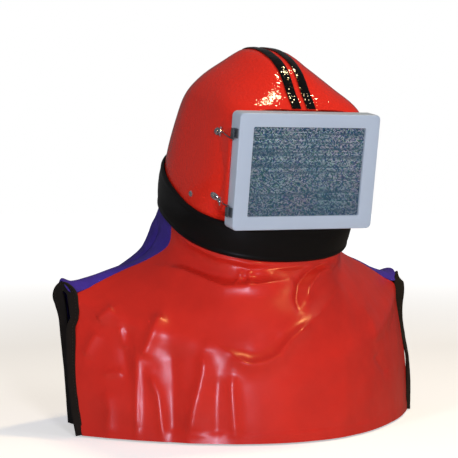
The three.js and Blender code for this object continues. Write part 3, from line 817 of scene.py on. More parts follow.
@dataclass(frozen=True)
class Shell:
    """The hollow moulded shell with its two strips and its side rivets, in millimetres."""

    form: HelmetForm
    wall: float = 3.0
    rim_inside_band: float = 10.0
    rows: int = 110
    steps: int = 300
    row_spread: float = 1.7
    frame_gap: float = 0.3
    lie_gap: float = 0.1
    spine_rise: float = 0.6
    spine_half: float = 17.6
    spine_shoulder: float = 8.0
    spine_fade: float = 40.0
    side_held: float = 103.8
    side_blend: float = 38.0
    side_starts: tuple[float, float] = (40.0, 85.0)
    held_foot: tuple[float, float] = (-72.0, -52.0)
    held_top: tuple[float, float] = (40.0, 76.0)
    lip_ahead: float = 7.4
    lip_steps: Line = ((0.8, 0.0), (0.2, 0.006))
    strip_width: float = 13.0
    strip_spacing: float = 8.0
    strip_thick: float = 0.8
    strip_edge_thin: float = 0.6
    strip_edge_round: int = 8
    strip_grid: tuple[int, int] = (8, 150)
    arch_fit: float = 0.001
    strip_middle_z: float = -80.0
    strip_start: float = 18.0
    strip_end: float = 185.0
    rivet_turn: float = 66.3
    rivet_drop: float = 191.0
    rivet_steps: int = 28
    rivet_profile: Line = (
        (0, 2.5), (1.6, 2.35), (2.9, 1.8), (3.8, 1.0), (4.2, 0.5), (4.2, 0.0), (0, 0),
    )

    @property
    def seat(self) -> float:
        """Where the shell is cut flat for the window frame."""
        return -self.form.window_reach + self.form.frame_depth + self.frame_gap

    def sided(self, z: float) -> float:
        """Gives how far the sides are held out at a height: wholly along the window's middle."""
        up = z - self.form.window_z
        return float(smooth(up, *self.held_foot) * (1.0 - smooth(up, *self.held_top)))

    def flared(self, place: Vector) -> Vector:
        """Gives where a point of the shell goes as its sides are held out to lap the window frame.

        Args:
            place: The point on the plain form.

        Returns:
            The point on the flared form.
        """
        away = max((place.y - self.seat) / self.side_blend, 0.0)
        aside = float(smooth(abs(place.x), *self.side_starts))
        share = self.sided(place.z) * math.exp(-away * away) * aside
        short = max(self.side_held - abs(place.x), 0.0)
        return Vector((place.x + math.copysign(short * share, place.x), place.y, place.z))

    def spine(self, place: Vector) -> float:
        """Gives the low rise of the shell under its strips, which dies away down the back."""
        shoulder = smooth(abs(place.x), self.spine_half, self.spine_half + self.spine_shoulder)
        low = self.strip_middle_z - self.spine_fade
        behind = smooth(place.z, low, self.strip_middle_z) if place.y > 0 else 1.0
        return self.spine_rise * float((1.0 - shoulder) * behind)

    def body(self, material: bpy.types.Material) -> bpy.types.Object:
        """Spins a disc, forms it over the sections, cuts it for the window and gives it a wall.

        Args:
            material: The shell's finish.

        Returns:
            The shell.
        """
        bm = bmesh.new()
        line = [(0.0, -k / self.rows, 0.0) for k in range(self.rows + 1)]
        spin_line(bm, line, self.steps, merge=1e-5)
        for vert in bm.verts:
            share = math.hypot(vert.co.x, vert.co.y) ** self.row_spread
            turn = math.atan2(vert.co.x, -vert.co.y)
            drop = (self.form.band_drop(turn) - self.rim_inside_band) * share
            vert.co = self.form.point(turn, drop)
        bmesh.ops.recalc_face_normals(bm, faces=bm.faces[:])
        bm.normal_update()
        for vert, rise in [(vert, vert.normal * self.spine(vert.co)) for vert in bm.verts]:
            vert.co += rise
        bmesh.ops.bisect_plane(
            bm, geom=[*bm.verts, *bm.edges, *bm.faces], plane_co=(0, self.seat, 0),
            plane_no=(0, -1, 0), clear_outer=True,
        )
        for vert in bm.verts:
            vert.co = self.flared(vert.co)
        for ahead, turn_in in self.lip_steps:
            rim = [
                e for e in bm.edges if e.is_boundary
                and max(v.co.y for v in e.verts) < self.seat + NEAR
                and max(self.sided(v.co.z) for v in e.verts) > NEAR
            ]
            for vert in verts_of(bmesh.ops.extrude_edge_only(bm, edges=rim)["geom"]):
                share = self.sided(vert.co.z)
                vert.co.y -= self.lip_ahead * ahead * share
                vert.co.x *= 1 - turn_in * share
        bmesh.ops.recalc_face_normals(bm, faces=bm.faces[:])
        bmesh.ops.solidify(bm, geom=bm.faces[:], thickness=self.wall)
        return make_piece(bm, self.form.matrix, "helmet_shell", material, ["shell"])

    def inside(self, place: Vector) -> bool:
        """Tells whether a point is inside the shell's outer surface."""
        down, flat = self.form.crown_rise - place.z, self.form.crown_flat
        if down <= flat:
            return False
        drop = math.sqrt(down * down - flat * flat)
        on_shell = self.form.point(math.atan2(place.x, -place.y), drop)
        return math.hypot(place.x, place.y) < math.hypot(on_shell.x, on_shell.y)

    def arch(self, x: float, angle: float, off: float) -> Vector:
        """Gives a point over the crown, out along an angle up from the front.

        Args:
            x: The side offset.
            angle: The angle about the strips' middle, in radians.
            off: How far it stands out from the shell.

        Returns:
            The point in the helmet's axes.
        """
        way = Vector((0.0, -math.cos(angle), math.sin(angle)))
        middle = Vector((x, 0.0, self.strip_middle_z))
        low, high = 0.0, self.form.band_front_drop
        while high - low > self.arch_fit:
            reach = (low + high) / 2
            if self.inside(middle + way * reach):
                low = reach
            else:
                high = reach
        place = middle + way * low
        return self.flared(place + way * (off + self.spine(place)))

    def strip(self, side: Side, material: bpy.types.Material) -> bpy.types.Object:
        """Lays a grid over the crown and gives it the strip's thickness.

        Args:
            side: Which strip.
            material: Its finish.

        Returns:
            The strip.
        """
        bm = bmesh.new()
        across_count, along_count = self.strip_grid
        bmesh.ops.create_grid(bm, x_segments=across_count, y_segments=along_count, size=0.5)
        near = side.value * self.strip_spacing / 2
        start, end = math.radians(self.strip_start), math.radians(self.strip_end)
        for vert in bm.verts:
            across, along = vert.co.x, vert.co.y + 0.5
            x = near + side.value * self.strip_width * (0.5 + side.value * across)
            thin = self.strip_edge_thin * abs(2 * across) ** self.strip_edge_round
            off = self.lie_gap + self.strip_thick * (1.0 - thin)
            vert.co = self.arch(x, start + (end - start) * along, off)
        bmesh.ops.recalc_face_normals(bm, faces=bm.faces[:])
        self.face_out(bm)
        bmesh.ops.solidify(bm, geom=bm.faces[:], thickness=self.strip_thick)
        label = side.label
        return make_piece(
            bm, self.form.matrix, f"crown_strip_{label}", material, [f"stripe_{label}"],
        )

    def face_out(self, bm: bmesh.types.BMesh) -> None:
        """Turns an open sheet so that its faces look away from the middle of the helmet."""
        bm.normal_update()
        middle = Vector((0.0, 0.0, self.strip_middle_z))
        outward = sum(face.normal.dot(face.calc_center_median() - middle) for face in bm.faces)
        if outward < 0:
            bmesh.ops.reverse_faces(bm, faces=bm.faces[:])

    def rivet(self, side: Side, material: bpy.types.Material) -> bpy.types.Object:
        """Spins a domed rivet and stands it on the shell.

        Args:
            side: Which rivet.
            material: Its finish.

        Returns:
            The rivet.
        """
        bm = bmesh.new()
        line = [(radius, 0.0, height) for radius, height in self.rivet_profile]
        spin_line(bm, line, self.rivet_steps, merge=1e-4)
        bmesh.ops.recalc_face_normals(bm, faces=bm.faces[:])
        turn = side.value * math.radians(self.rivet_turn)
        normal = self.form.normal(turn, self.rivet_drop)
        place = self.form.point(turn, self.rivet_drop) + normal * self.lie_gap
        stand = Matrix.Translation(place) @ normal.to_track_quat("Z", "Y").to_matrix().to_4x4()
        label = side.label
        return make_piece(
            bm, self.form.matrix @ stand, f"side_rivet_{label}", material,
            [f"rivet_{label}"],
        )


@dataclass(frozen=True)
class Window:
    """The framed window: a box frame, a woven wire screen and a pane behind it, in millimetres."""

    form: HelmetForm
    width: float = 200.0
    height: float = 149.0
    corner: float = 6.5
    edge_round: float = 1.5
    opening_width: float = 160.0
    opening_height: float = 114.0
    opening_corner: float = 2.0
    opening_round: float = 0.9
    lip: float = 4.0
    rebate: float = 4.0
    pitch: float = 1.55
    wire_radius: float = 0.3
    wire_wave: float = 0.36
    wire_sides: int = 4
    screen_back: float = 1.1
    screen_gap: float = 1.0
    pane_thick: float = 3.0
    pane_back: float = 2.2
    pane_gap: float = 0.3
    pane_round: float = 0.5

    def rebated(self, gap: float) -> tuple[float, float]:
        """Gives the width and height of what lies in the rebate with a gap all round."""
        more = 2 * self.rebate - 2 * gap
        return self.opening_width + more, self.opening_height + more

    def rounding(
        self, size: tuple[float, float, float], radius: float, way: int, degrees: Sequence[int]
    ) -> list[list[Vector]]:
        """Gives the rings round a front edge of the frame.

        Args:
            size: Width, height and corner of the edge.
            radius: How round it is.
            way: 1 where it widens towards the front, -1 where it narrows.
            degrees: The turns that have a ring.

        Returns:
            One ring for each turn.
        """
        width, height, corner = size
        rings = []
        for angle in map(math.radians, degrees):
            grown = way * radius * (1 - math.cos(angle))
            reach = self.form.window_reach - radius * (1 - math.sin(angle))
            rings.append(rounded_ring(
                width + 2 * grown, height + 2 * grown, corner + grown, reach, self.form.window_z,
            ))
        return rings

    def border(self, material: bpy.types.Material) -> bpy.types.Object:
        """Lofts the frame through rounded rectangles, out over its front and back down its rebate.

        Args:
            material: The frame's finish.

        Returns:
            The frame.
        """
        middle = self.form.window_z
        back = self.form.window_reach - self.form.frame_depth
        inner = self.form.window_reach - self.lip
        outline = (self.width, self.height, self.corner)
        opening = (self.opening_width, self.opening_height, self.opening_corner)
        rebate = (*self.rebated(0.0), self.opening_corner)
        rings = [
            rounded_ring(*outline, back, middle),
            *self.rounding(outline, self.edge_round, -1, (0, 22, 45, 68, 90)),
            *self.rounding(opening, self.opening_round, 1, (90, 60, 30, 0)),
            rounded_ring(*opening, inner, middle),
            rounded_ring(*rebate, inner, middle),
            rounded_ring(*rebate, back, middle),
        ]
        bm = bmesh.new()
        loft(bm, rings, joined=True)
        return make_piece(
            bm, self.form.matrix, "box_frame", material, ["window_frame"], crease=30.0,
        )

    def wire(
        self, bm: bmesh.types.BMesh, length: float, upright: bool, phase: int
    ) -> list[bmesh.types.BMVert]:
        """Lofts one wire of the screen through the window's middle, over and under its crossings.

        Args:
            bm: The mesh that it is added to.
            length: The wire's length.
            upright: Whether it stands up or lies across.
            phase: Whether it goes over or under first.

        Returns:
            The wire's vertices.
        """
        reach = self.form.window_reach - self.lip - self.screen_back
        count = int(length / self.pitch)
        path = []
        for k in range(count + 1):
            at = (k - count / 2) * self.pitch
            wave = self.wire_wave * (1 if (k + phase) % 2 else -1)
            x, z = (0.0, at) if upright else (at, 0.0)
            path.append(Vector((x, -reach + wave, self.form.window_z + z)))
        return loft(bm, tube_rings(path, self.wire_radius, self.wire_sides), joined=False)

    def screen(self, material: bpy.types.Material) -> bpy.types.Object:
        """Weaves the screen: two wires each way, repeated across the opening.

        Args:
            material: The wires' finish.

        Returns:
            The screen.
        """
        wide, tall = self.rebated(self.screen_gap)
        bm = bmesh.new()
        for upright, length, spread in ((False, wide, tall), (True, tall, wide)):
            count = int(spread / self.pitch)
            way = Vector((1, 0, 0)) if upright else Vector((0, 0, 1))
            for phase in (0, 1):
                seed = self.wire(bm, length, upright, phase + (1 if upright else 0))
                faces = list({face for vert in seed for face in vert.link_faces})
                geometry = [*seed, *{e for f in faces for e in f.edges}, *faces]
                places = [(k - count / 2) * self.pitch for k in range(phase, count + 1, 2)]
                for at in places[1:]:
                    copy = bmesh.ops.duplicate(bm, geom=geometry)["geom"]
                    bmesh.ops.translate(bm, vec=way * at, verts=verts_of(copy))
                bmesh.ops.translate(bm, vec=way * places[0], verts=seed)
        return make_piece(
            bm, self.form.matrix, "wire_screen", material, ["window_screen"],
            crease=180.0,
        )

    def pane(self, material: bpy.types.Material) -> bpy.types.Object:
        """Makes the pane: a plate with eased edges behind the screen.

        Args:
            material: Its finish.

        Returns:
            The pane.
        """
        bm = bmesh.new()
        bmesh.ops.create_cube(bm, size=1.0)
        wide, tall = self.rebated(self.pane_gap)
        bmesh.ops.scale(bm, vec=(wide, self.pane_thick, tall), verts=bm.verts[:])
        ease(bm, bm.edges[:], self.pane_round)
        reach = self.form.window_reach - self.lip - self.pane_back - self.pane_thick / 2
        bmesh.ops.translate(bm, vec=(0, -reach, self.form.window_z), verts=bm.verts[:])
        return make_piece(
            bm, self.form.matrix, "smoked_pane", material, ["window_pane"],
        )


@dataclass(frozen=True)
class RimBand:
    """The wide rubber band round the rim, with a bead along each edge, in millimetres.

    Its section is how far down its width, and how far off the shell.
    """

    form: HelmetForm
    width: float = 45.0
    back_wider: float = 20.0
    steps: int = 168
    section: Line = (
        (0.0, 1.6), (0.3, 3.0), (1.4, 4.4), (3.0, 5.2), (4.6, 5.3), (6.0, 5.0), (8.0, 5.3),
        (14.0, 6.2), (22.5, 6.6), (31.0, 6.4), (37.0, 5.8), (39.0, 5.7), (40.4, 6.1), (42.6, 6.1),
        (44.2, 5.4), (45.0, 4.4), (44.4, 3.6), (40.0, 3.3), (20.0, 3.3), (8.0, 2.2), (2.0, 1.2),
    )

    def build(self, material: bpy.types.Material) -> bpy.types.Object:
        """Lofts the band's section into a closed ring about the shell.

        Args:
            material: Its finish.

        Returns:
            The band.
        """
        rings = []
        for down, off in self.section:
            ring = []
            for turn in (2 * math.pi * k / self.steps for k in range(self.steps)):
                back = (1.0 - math.cos(turn)) / 2.0
                wide = self.width + self.back_wider * back * back
                drop = self.form.band_drop(turn) - wide * (1.0 - down / self.width)
                ring.append(self.form.point(turn, drop, off))
            rings.append(ring)
        bm = bmesh.new()
        loft(bm, rings, joined=True)
        return make_piece(
            bm, self.form.matrix, "rubber_band", material, ["rim_band"], crease=60.0,
        )


@dataclass(frozen=True)
class Catch:
    """A catch of the window frame: a stud plate on the shell, a clip on the frame and a wire hook.

    Sizes are in millimetres. The wire goes in by the clip's upper end where wire_end is 1, or its
    lower end where it is -1.
    """

    form: HelmetForm
    name: str
    plate_turn: float
    plate_drop: float
    clip_rise: float
    wire_end: int
    frame_width: float = 200.0
    plate_long: float = 7.4
    plate_wide: float = 5.4
    plate_high: float = 2.0
    plate_taper: float = 0.72
    plate_round: float = 0.5
    plate_sharp: float = 0.6
    plate_gap: float = 0.15
    screw_radius: float = 2.6
    screw_flat: float = 0.7
    tongue_wide: float = 3.0
    tongue_thick: float = 1.4
    tongue_high: float = 1.3
    eye_ahead: float = 12.0
    eye_high: float = 3.6
    ball_radius: float = 3.0
    pin_radius: float = 1.1
    pin_long: float = 12.0
    wire_radius: float = 0.75
    wire_pass: float = 105.3
    wire_gap: float = 0.1
    wire_clear: float = 1.3
    wire_over: float = 0.62
    wire_bend: float = 0.2
    wire_held: float = 0.35
    wire_steps: int = 40
    wire_sides: int = 10
    clip_place: float = 0.33
    left_clip_place: float = 0.52
    clip_gap: float = 0.1
    clip_tall: float = 12.0
    clip_outline: Line = (
        (0, -5.5), (0, 5.5), (5.6, 5.5), (5.6, -1.5), (4.2, -1.5), (4.2, 3), (1.5, 3), (1.5, -5.5),
    )
    channel: tuple[float, float] = (2.85, 1.4)
    edge_round: float = 0.35

    def seat(self, side: Side) -> Vector:
        """Gives the middle of the clip's foot on the frame's side."""
        place = self.clip_place if side is Side.RIGHT else self.left_clip_place
        return Vector((
            side.value * (self.frame_width / 2 + self.clip_gap),
            -self.form.window_reach + self.form.frame_depth * place,
            self.form.window_z + self.clip_rise,
        ))

    def placing(self, side: Side) -> Matrix:
        """Gives the plate's place on the shell, with X ahead to the clip and Z off the shell."""
        turn = side.value * math.radians(self.plate_turn)
        normal = self.form.normal(turn, self.plate_drop)
        foot = self.form.point(turn, self.plate_drop) + normal * self.plate_gap
        ahead = self.seat(side) - foot
        ahead = (ahead - normal * ahead.dot(normal)).normalized()
        across = normal.cross(ahead)
        return Matrix.Translation(foot) @ Matrix((ahead, across, normal)).transposed().to_4x4()

    def plate(self, side: Side, material: bpy.types.Material) -> bpy.types.Object:
        """Builds the stud plate with its screw, tongue, ball and cross pin.

        Args:
            side: Which side of the helmet.
            material: Its finish.

        Returns:
            The plate.
        """
        bm = bmesh.new()
        half = self.plate_high / 2
        bmesh.ops.create_cone(
            bm, cap_ends=True, segments=28, radius1=self.plate_wide,
            radius2=self.plate_wide * self.plate_taper, depth=self.plate_high,
            matrix=Matrix.Translation((0, 0, half)),
        )
        bmesh.ops.scale(bm, vec=(self.plate_long / self.plate_wide, 1, 1), verts=bm.verts[:])
        sharp = [e for e in bm.edges if e.calc_face_angle(0) > self.plate_sharp]
        ease(bm, [e for e in sharp if e.verts[0].co.z > half], self.plate_round, segments=3)
        flat = Matrix.Diagonal((1, 1, self.screw_flat, 1))
        screw = Matrix.Translation((0, 0, self.plate_high)) @ flat
        bmesh.ops.create_uvsphere(
            bm, u_segments=20, v_segments=12, radius=self.screw_radius, matrix=screw,
        )
        shape = Matrix.Diagonal((self.eye_ahead, self.tongue_wide, self.tongue_thick, 1))
        tongue = Matrix.Translation((self.eye_ahead / 2, 0, self.tongue_high)) @ shape
        bar = bmesh.ops.create_cube(bm, size=1.0, matrix=tongue)["verts"]
        ease(bm, list({e for v in bar for e in v.link_edges}), self.edge_round)
        eye = Matrix.Translation((self.eye_ahead, 0, self.eye_high))
        bmesh.ops.create_uvsphere(
            bm, u_segments=24, v_segments=14, radius=self.ball_radius, matrix=eye,
        )
        bmesh.ops.create_cone(
            bm, cap_ends=True, segments=16, radius1=self.pin_radius, radius2=self.pin_radius,
            depth=self.pin_long, matrix=eye @ Matrix.Rotation(math.pi / 2, 4, "X"),
        )
        label = f"{self.name}_{side.label}"
        return make_piece(
            bm, self.form.matrix @ self.placing(side), f"stud_plate_{label}", material,
            [f"catch_{label}_plate"],
        )

    def clip(self, side: Side, material: bpy.types.Material) -> bpy.types.Object:
        """Extrudes the clip's outline and eases its edges.

        Args:
            side: Which side of the helmet.
            material: Its finish.

        Returns:
            The clip.
        """
        bm = bmesh.new()
        foot = bm.faces.new([
            bm.verts.new((side.value * out, back, -self.clip_tall / 2))
            for out, back in self.clip_outline
        ])
        raised = bmesh.ops.extrude_face_region(bm, geom=[foot])["geom"]
        bmesh.ops.translate(bm, vec=(0, 0, self.clip_tall), verts=verts_of(raised))
        bmesh.ops.recalc_face_normals(bm, faces=bm.faces[:])
        ease(bm, bm.edges[:], self.edge_round)
        bmesh.ops.translate(bm, vec=self.seat(side), verts=bm.verts[:])
        label = f"{self.name}_{side.label}"
        return make_piece(
            bm, self.form.matrix, f"frame_clip_{label}", material,
            [f"catch_{label}_clip"],
        )

    def hook(self, side: Side, material: bpy.types.Material) -> bpy.types.Object:
        """Lofts the wire hook from the ball past one end of the clip and into its channel.

        Args:
            side: Which side of the helmet.
            material: Its finish.

        Returns:
            The hook.
        """
        ahead = self.eye_ahead + self.ball_radius + self.wire_radius + self.wire_gap
        start = self.placing(side) @ Vector((ahead, 0.0, self.eye_high))
        out, back = self.channel
        hooked = self.seat(side) + Vector((side.value * out, back, 0))

        def level(rise: float) -> Vector:
            """Gives a point up or down the clip's channel."""
            return hooked + Vector((0.0, 0.0, self.wire_end * rise))

        turned = level(self.clip_tall / 2 + self.wire_radius + self.wire_clear)
        over_side = start.lerp(turned, self.wire_over)
        over_side.x = side.value * self.wire_pass
        line = [
            start, over_side, turned.lerp(over_side, self.wire_bend), turned,
            level(self.clip_tall / 2), level(-self.wire_held * self.clip_tall),
        ]
        path = [curve_point(line, k / self.wire_steps) for k in range(self.wire_steps + 1)]
        bm = bmesh.new()
        loft(bm, tube_rings(path, self.wire_radius, self.wire_sides), joined=False)
        label = f"{self.name}_{side.label}"
        return make_piece(
            bm, self.form.matrix, f"wire_hook_{label}", material,
            [f"catch_{label}_wire"],
        )


# Each catch's name, the plate's turn and drop, the clip's rise, and the end its wire goes in by
CATCH_PLACES = (("upper", 48.0, 102.0, 48.0, -1), ("lower", 45.5, 184.0, -52.0, 1))


# Cape


@dataclass(frozen=True)
class CapeSection:
    """A section of a cape panel, in millimetres, from its side edge to its middle."""

    edge_x: float
    edge_y: float
    edge_z: float
    mid_y: float
    mid_z: float
    flat: float
    belly: float = 0.0
    crest: float = 0.0


@dataclass(frozen=True)
class Fold:
    """A ridge of the cloth along a line, or a hollow where its rise is below zero.

    A front fold's line is measured across as seen from the wearer's front right, and up. The fold
    falls off over one distance above its line and another below, and to a share at its ends.
    """

    line: Line
    rise: float
    above: float
    below: float
    power: float = 1.5
    fade: float = 0.18
    end_share: float = 0.3

    def lift(self, x: np.ndarray, z: np.ndarray) -> np.ndarray:
        """Gives how far the fold raises the cloth.

        Args:
            x: Where each point of the cloth is across.
            z: How high it is.

        Returns:
            The rise at each point.
        """
        best = np.full(x.shape, np.inf)
        flank = np.full(x.shape, self.below)
        along = np.zeros(x.shape)
        steps = [math.dist(a, b) for a, b in zip(self.line, self.line[1:])]
        gone = 0.0
        for (ax, az), (bx, bz), step in zip(self.line, self.line[1:], steps):
            dx, dz = bx - ax, bz - az
            t = np.clip(((x - ax) * dx + (z - az) * dz) / (step * step), 0.0, 1.0)
            away = np.hypot(x - ax - t * dx, z - az - t * dz)
            upper = ((x - ax) * dz - (z - az) * dx) * np.sign(dx if abs(dx) > abs(dz) else dz) < 0
            near = away < best
            best = np.where(near, away, best)
            flank = np.where(near, np.where(upper, self.above, self.below), flank)
            along = np.where(near, (gone + t * step) / sum(steps), along)
            gone += step
        ends = smooth(along, 0.0, self.fade) * smooth(1.0 - along, 0.0, self.fade)
        share = self.end_share + (1.0 - self.end_share) * ends
        return self.rise * np.exp(-((best / flank) ** self.power)) * share


FRONT_SECTIONS = (
    CapeSection(123, 38, -238, -95, -278, 0.2),
    CapeSection(146, 43, -255, -107, -300, 0.5),
    CapeSection(188, 54, -274, -117, -328, 0.8),
    CapeSection(228, 64, -295, -122, -356, 1),
    CapeSection(247.5, 66, -306, -125, -378, 1),
    CapeSection(247, 60, -330, -127, -400, 1),
    CapeSection(250, 54, -364, -128, -425, 1),
    CapeSection(253, 45, -412, -129, -452, 1),
    CapeSection(248, 31, -485, -129, -485, 1),
)
BACK_SECTIONS = (
    CapeSection(123, 38, -238, 190, -203, 0, 0.07),
    CapeSection(146, 43, -255, 194, -242, 0.2, 0.04, 1),
    CapeSection(188, 54, -274, 199, -282, 0.3, 0, 7),
    CapeSection(228, 64, -295, 205, -318, 0.4, 0, 17),
    CapeSection(250, 68, -300, 208, -345, 0.5, 0, 21),
    CapeSection(257, 85, -286, 210, -366, 0.5, 0, 13),
    CapeSection(257, 104, -302, 212, -390, 0.5),
    CapeSection(251, 112, -352, 213, -420, 0.5),
    CapeSection(240, 122.5, -412, 214, -450, 0.5),
    CapeSection(231.5, 130, -485, 214, -485, 0.5),
)
FRONT_FOLDS = (
    Fold(((-119, -217), (-96, -235), (-61, -249), (-20, -258), (19, -261)), 3.0, 3.5, 4.5),
    Fold(((-51, -259), (-23, -266), (29, -263), (76, -257), (92, -253)), -3.6, 4, 5),
    Fold((
        (-131, -266), (-108, -271), (-89, -276), (-70, -284), (-51, -290), (-32, -289), (-7, -287),
        (31, -280),
    ), 6.5, 5.5, 10),
    Fold(((-104, -262), (-70, -272), (-40, -277), (10, -272)), -4.5, 7, 7),
    Fold(((-30, -269), (-34, -277), (-38, -285)), 2.6, 4, 4),
    Fold(((-21, -268), (-19, -278), (-20, -288)), 3.2, 4, 4),
    Fold(((85, -259), (58, -270), (44, -284), (41, -303), (44, -319)), -5.0, 4, 5.5),
    Fold(((95, -263), (72, -274), (57, -291), (53, -310)), 4.2, 5, 7),
    Fold((
        (60, -330), (50, -338), (31, -354), (17, -373), (-1, -382), (-20, -384), (-35, -378),
        (-45, -370),
    ), 8.5, 5.5, 11),
    Fold(((-36, -366), (-12, -370), (8, -358), (22, -342)), -1.6, 9, 9),
    Fold(((60, -330), (84, -308), (104, -288)), 2.4, 9, 13),
    Fold(((-218, -334), (-208, -326), (-197, -317)), 4.2, 6, 8),
    Fold(((-216, -349), (-225, -364), (-235, -383)), 4.2, 9, 10),
    Fold(((-131, -321), (-140, -341), (-150, -367), (-157, -382)), 7.5, 9, 10),
    Fold(((-178, -335), (-182, -373), (-178, -411)), -4.2, 9, 9),
    Fold(((-189, -340), (-184, -356), (-180, -372)), 3.0, 5, 6),
    Fold(((-164, -367), (-164, -405), (-164, -443), (-164, -481)), 3.8, 5, 5),
    Fold(((-148, -398), (-141, -415), (-137, -424), (-134, -443), (-130, -481)), 4.4, 6, 6),
    Fold(((-121, -360), (-118, -405), (-118, -443), (-118, -481)), -4.5, 12, 12),
    Fold(((-77, -366), (-80, -398), (-86, -424), (-91, -443), (-98, -481)), 6.5, 7, 13),
    Fold(((-60, -395), (-62, -425), (-62, -481)), -3.0, 9, 9),
    Fold(((-41, -394), (-42, -417), (-40, -443), (-37, -481)), 4.4, 7, 7),
    Fold(((-210, -403), (-196, -401), (-182, -400)), 2.6, 5, 5),
    Fold(((-205, -425), (-200, -450), (-202, -481)), 3.6, 9, 9),
    Fold(((22, -400), (26, -440), (30, -481)), 1.2, 20, 20),
    Fold(((98, -360), (104, -420), (100, -481)), 3.4, 24, 24),
    Fold(((150, -386), (160, -402), (171, -418)), -2.6, 5, 5),
    Fold(((130, -320), (146, -342), (156, -372)), 2.0, 9, 9),
)
BACK_FOLDS = (
    Fold(((-190, -215), (-196, -250), (-205, -272)), -4.0, 9, 9),
    Fold(((-150, -200), (-160, -250), (-170, -300)), 4.0, 14, 14),
    Fold(((-95, -230), (-110, -330), (-130, -485)), 6.0, 20, 22),
    Fold(((-30, -225), (-36, -350), (-42, -485)), 5.0, 20, 22),
    Fold(((45, -225), (52, -350), (62, -485)), 6.0, 22, 22),
    Fold(((110, -230), (128, -340), (150, -485)), 5.0, 20, 22),
    Fold(((185, -215), (192, -250), (200, -275)), -3.5, 9, 9),
)


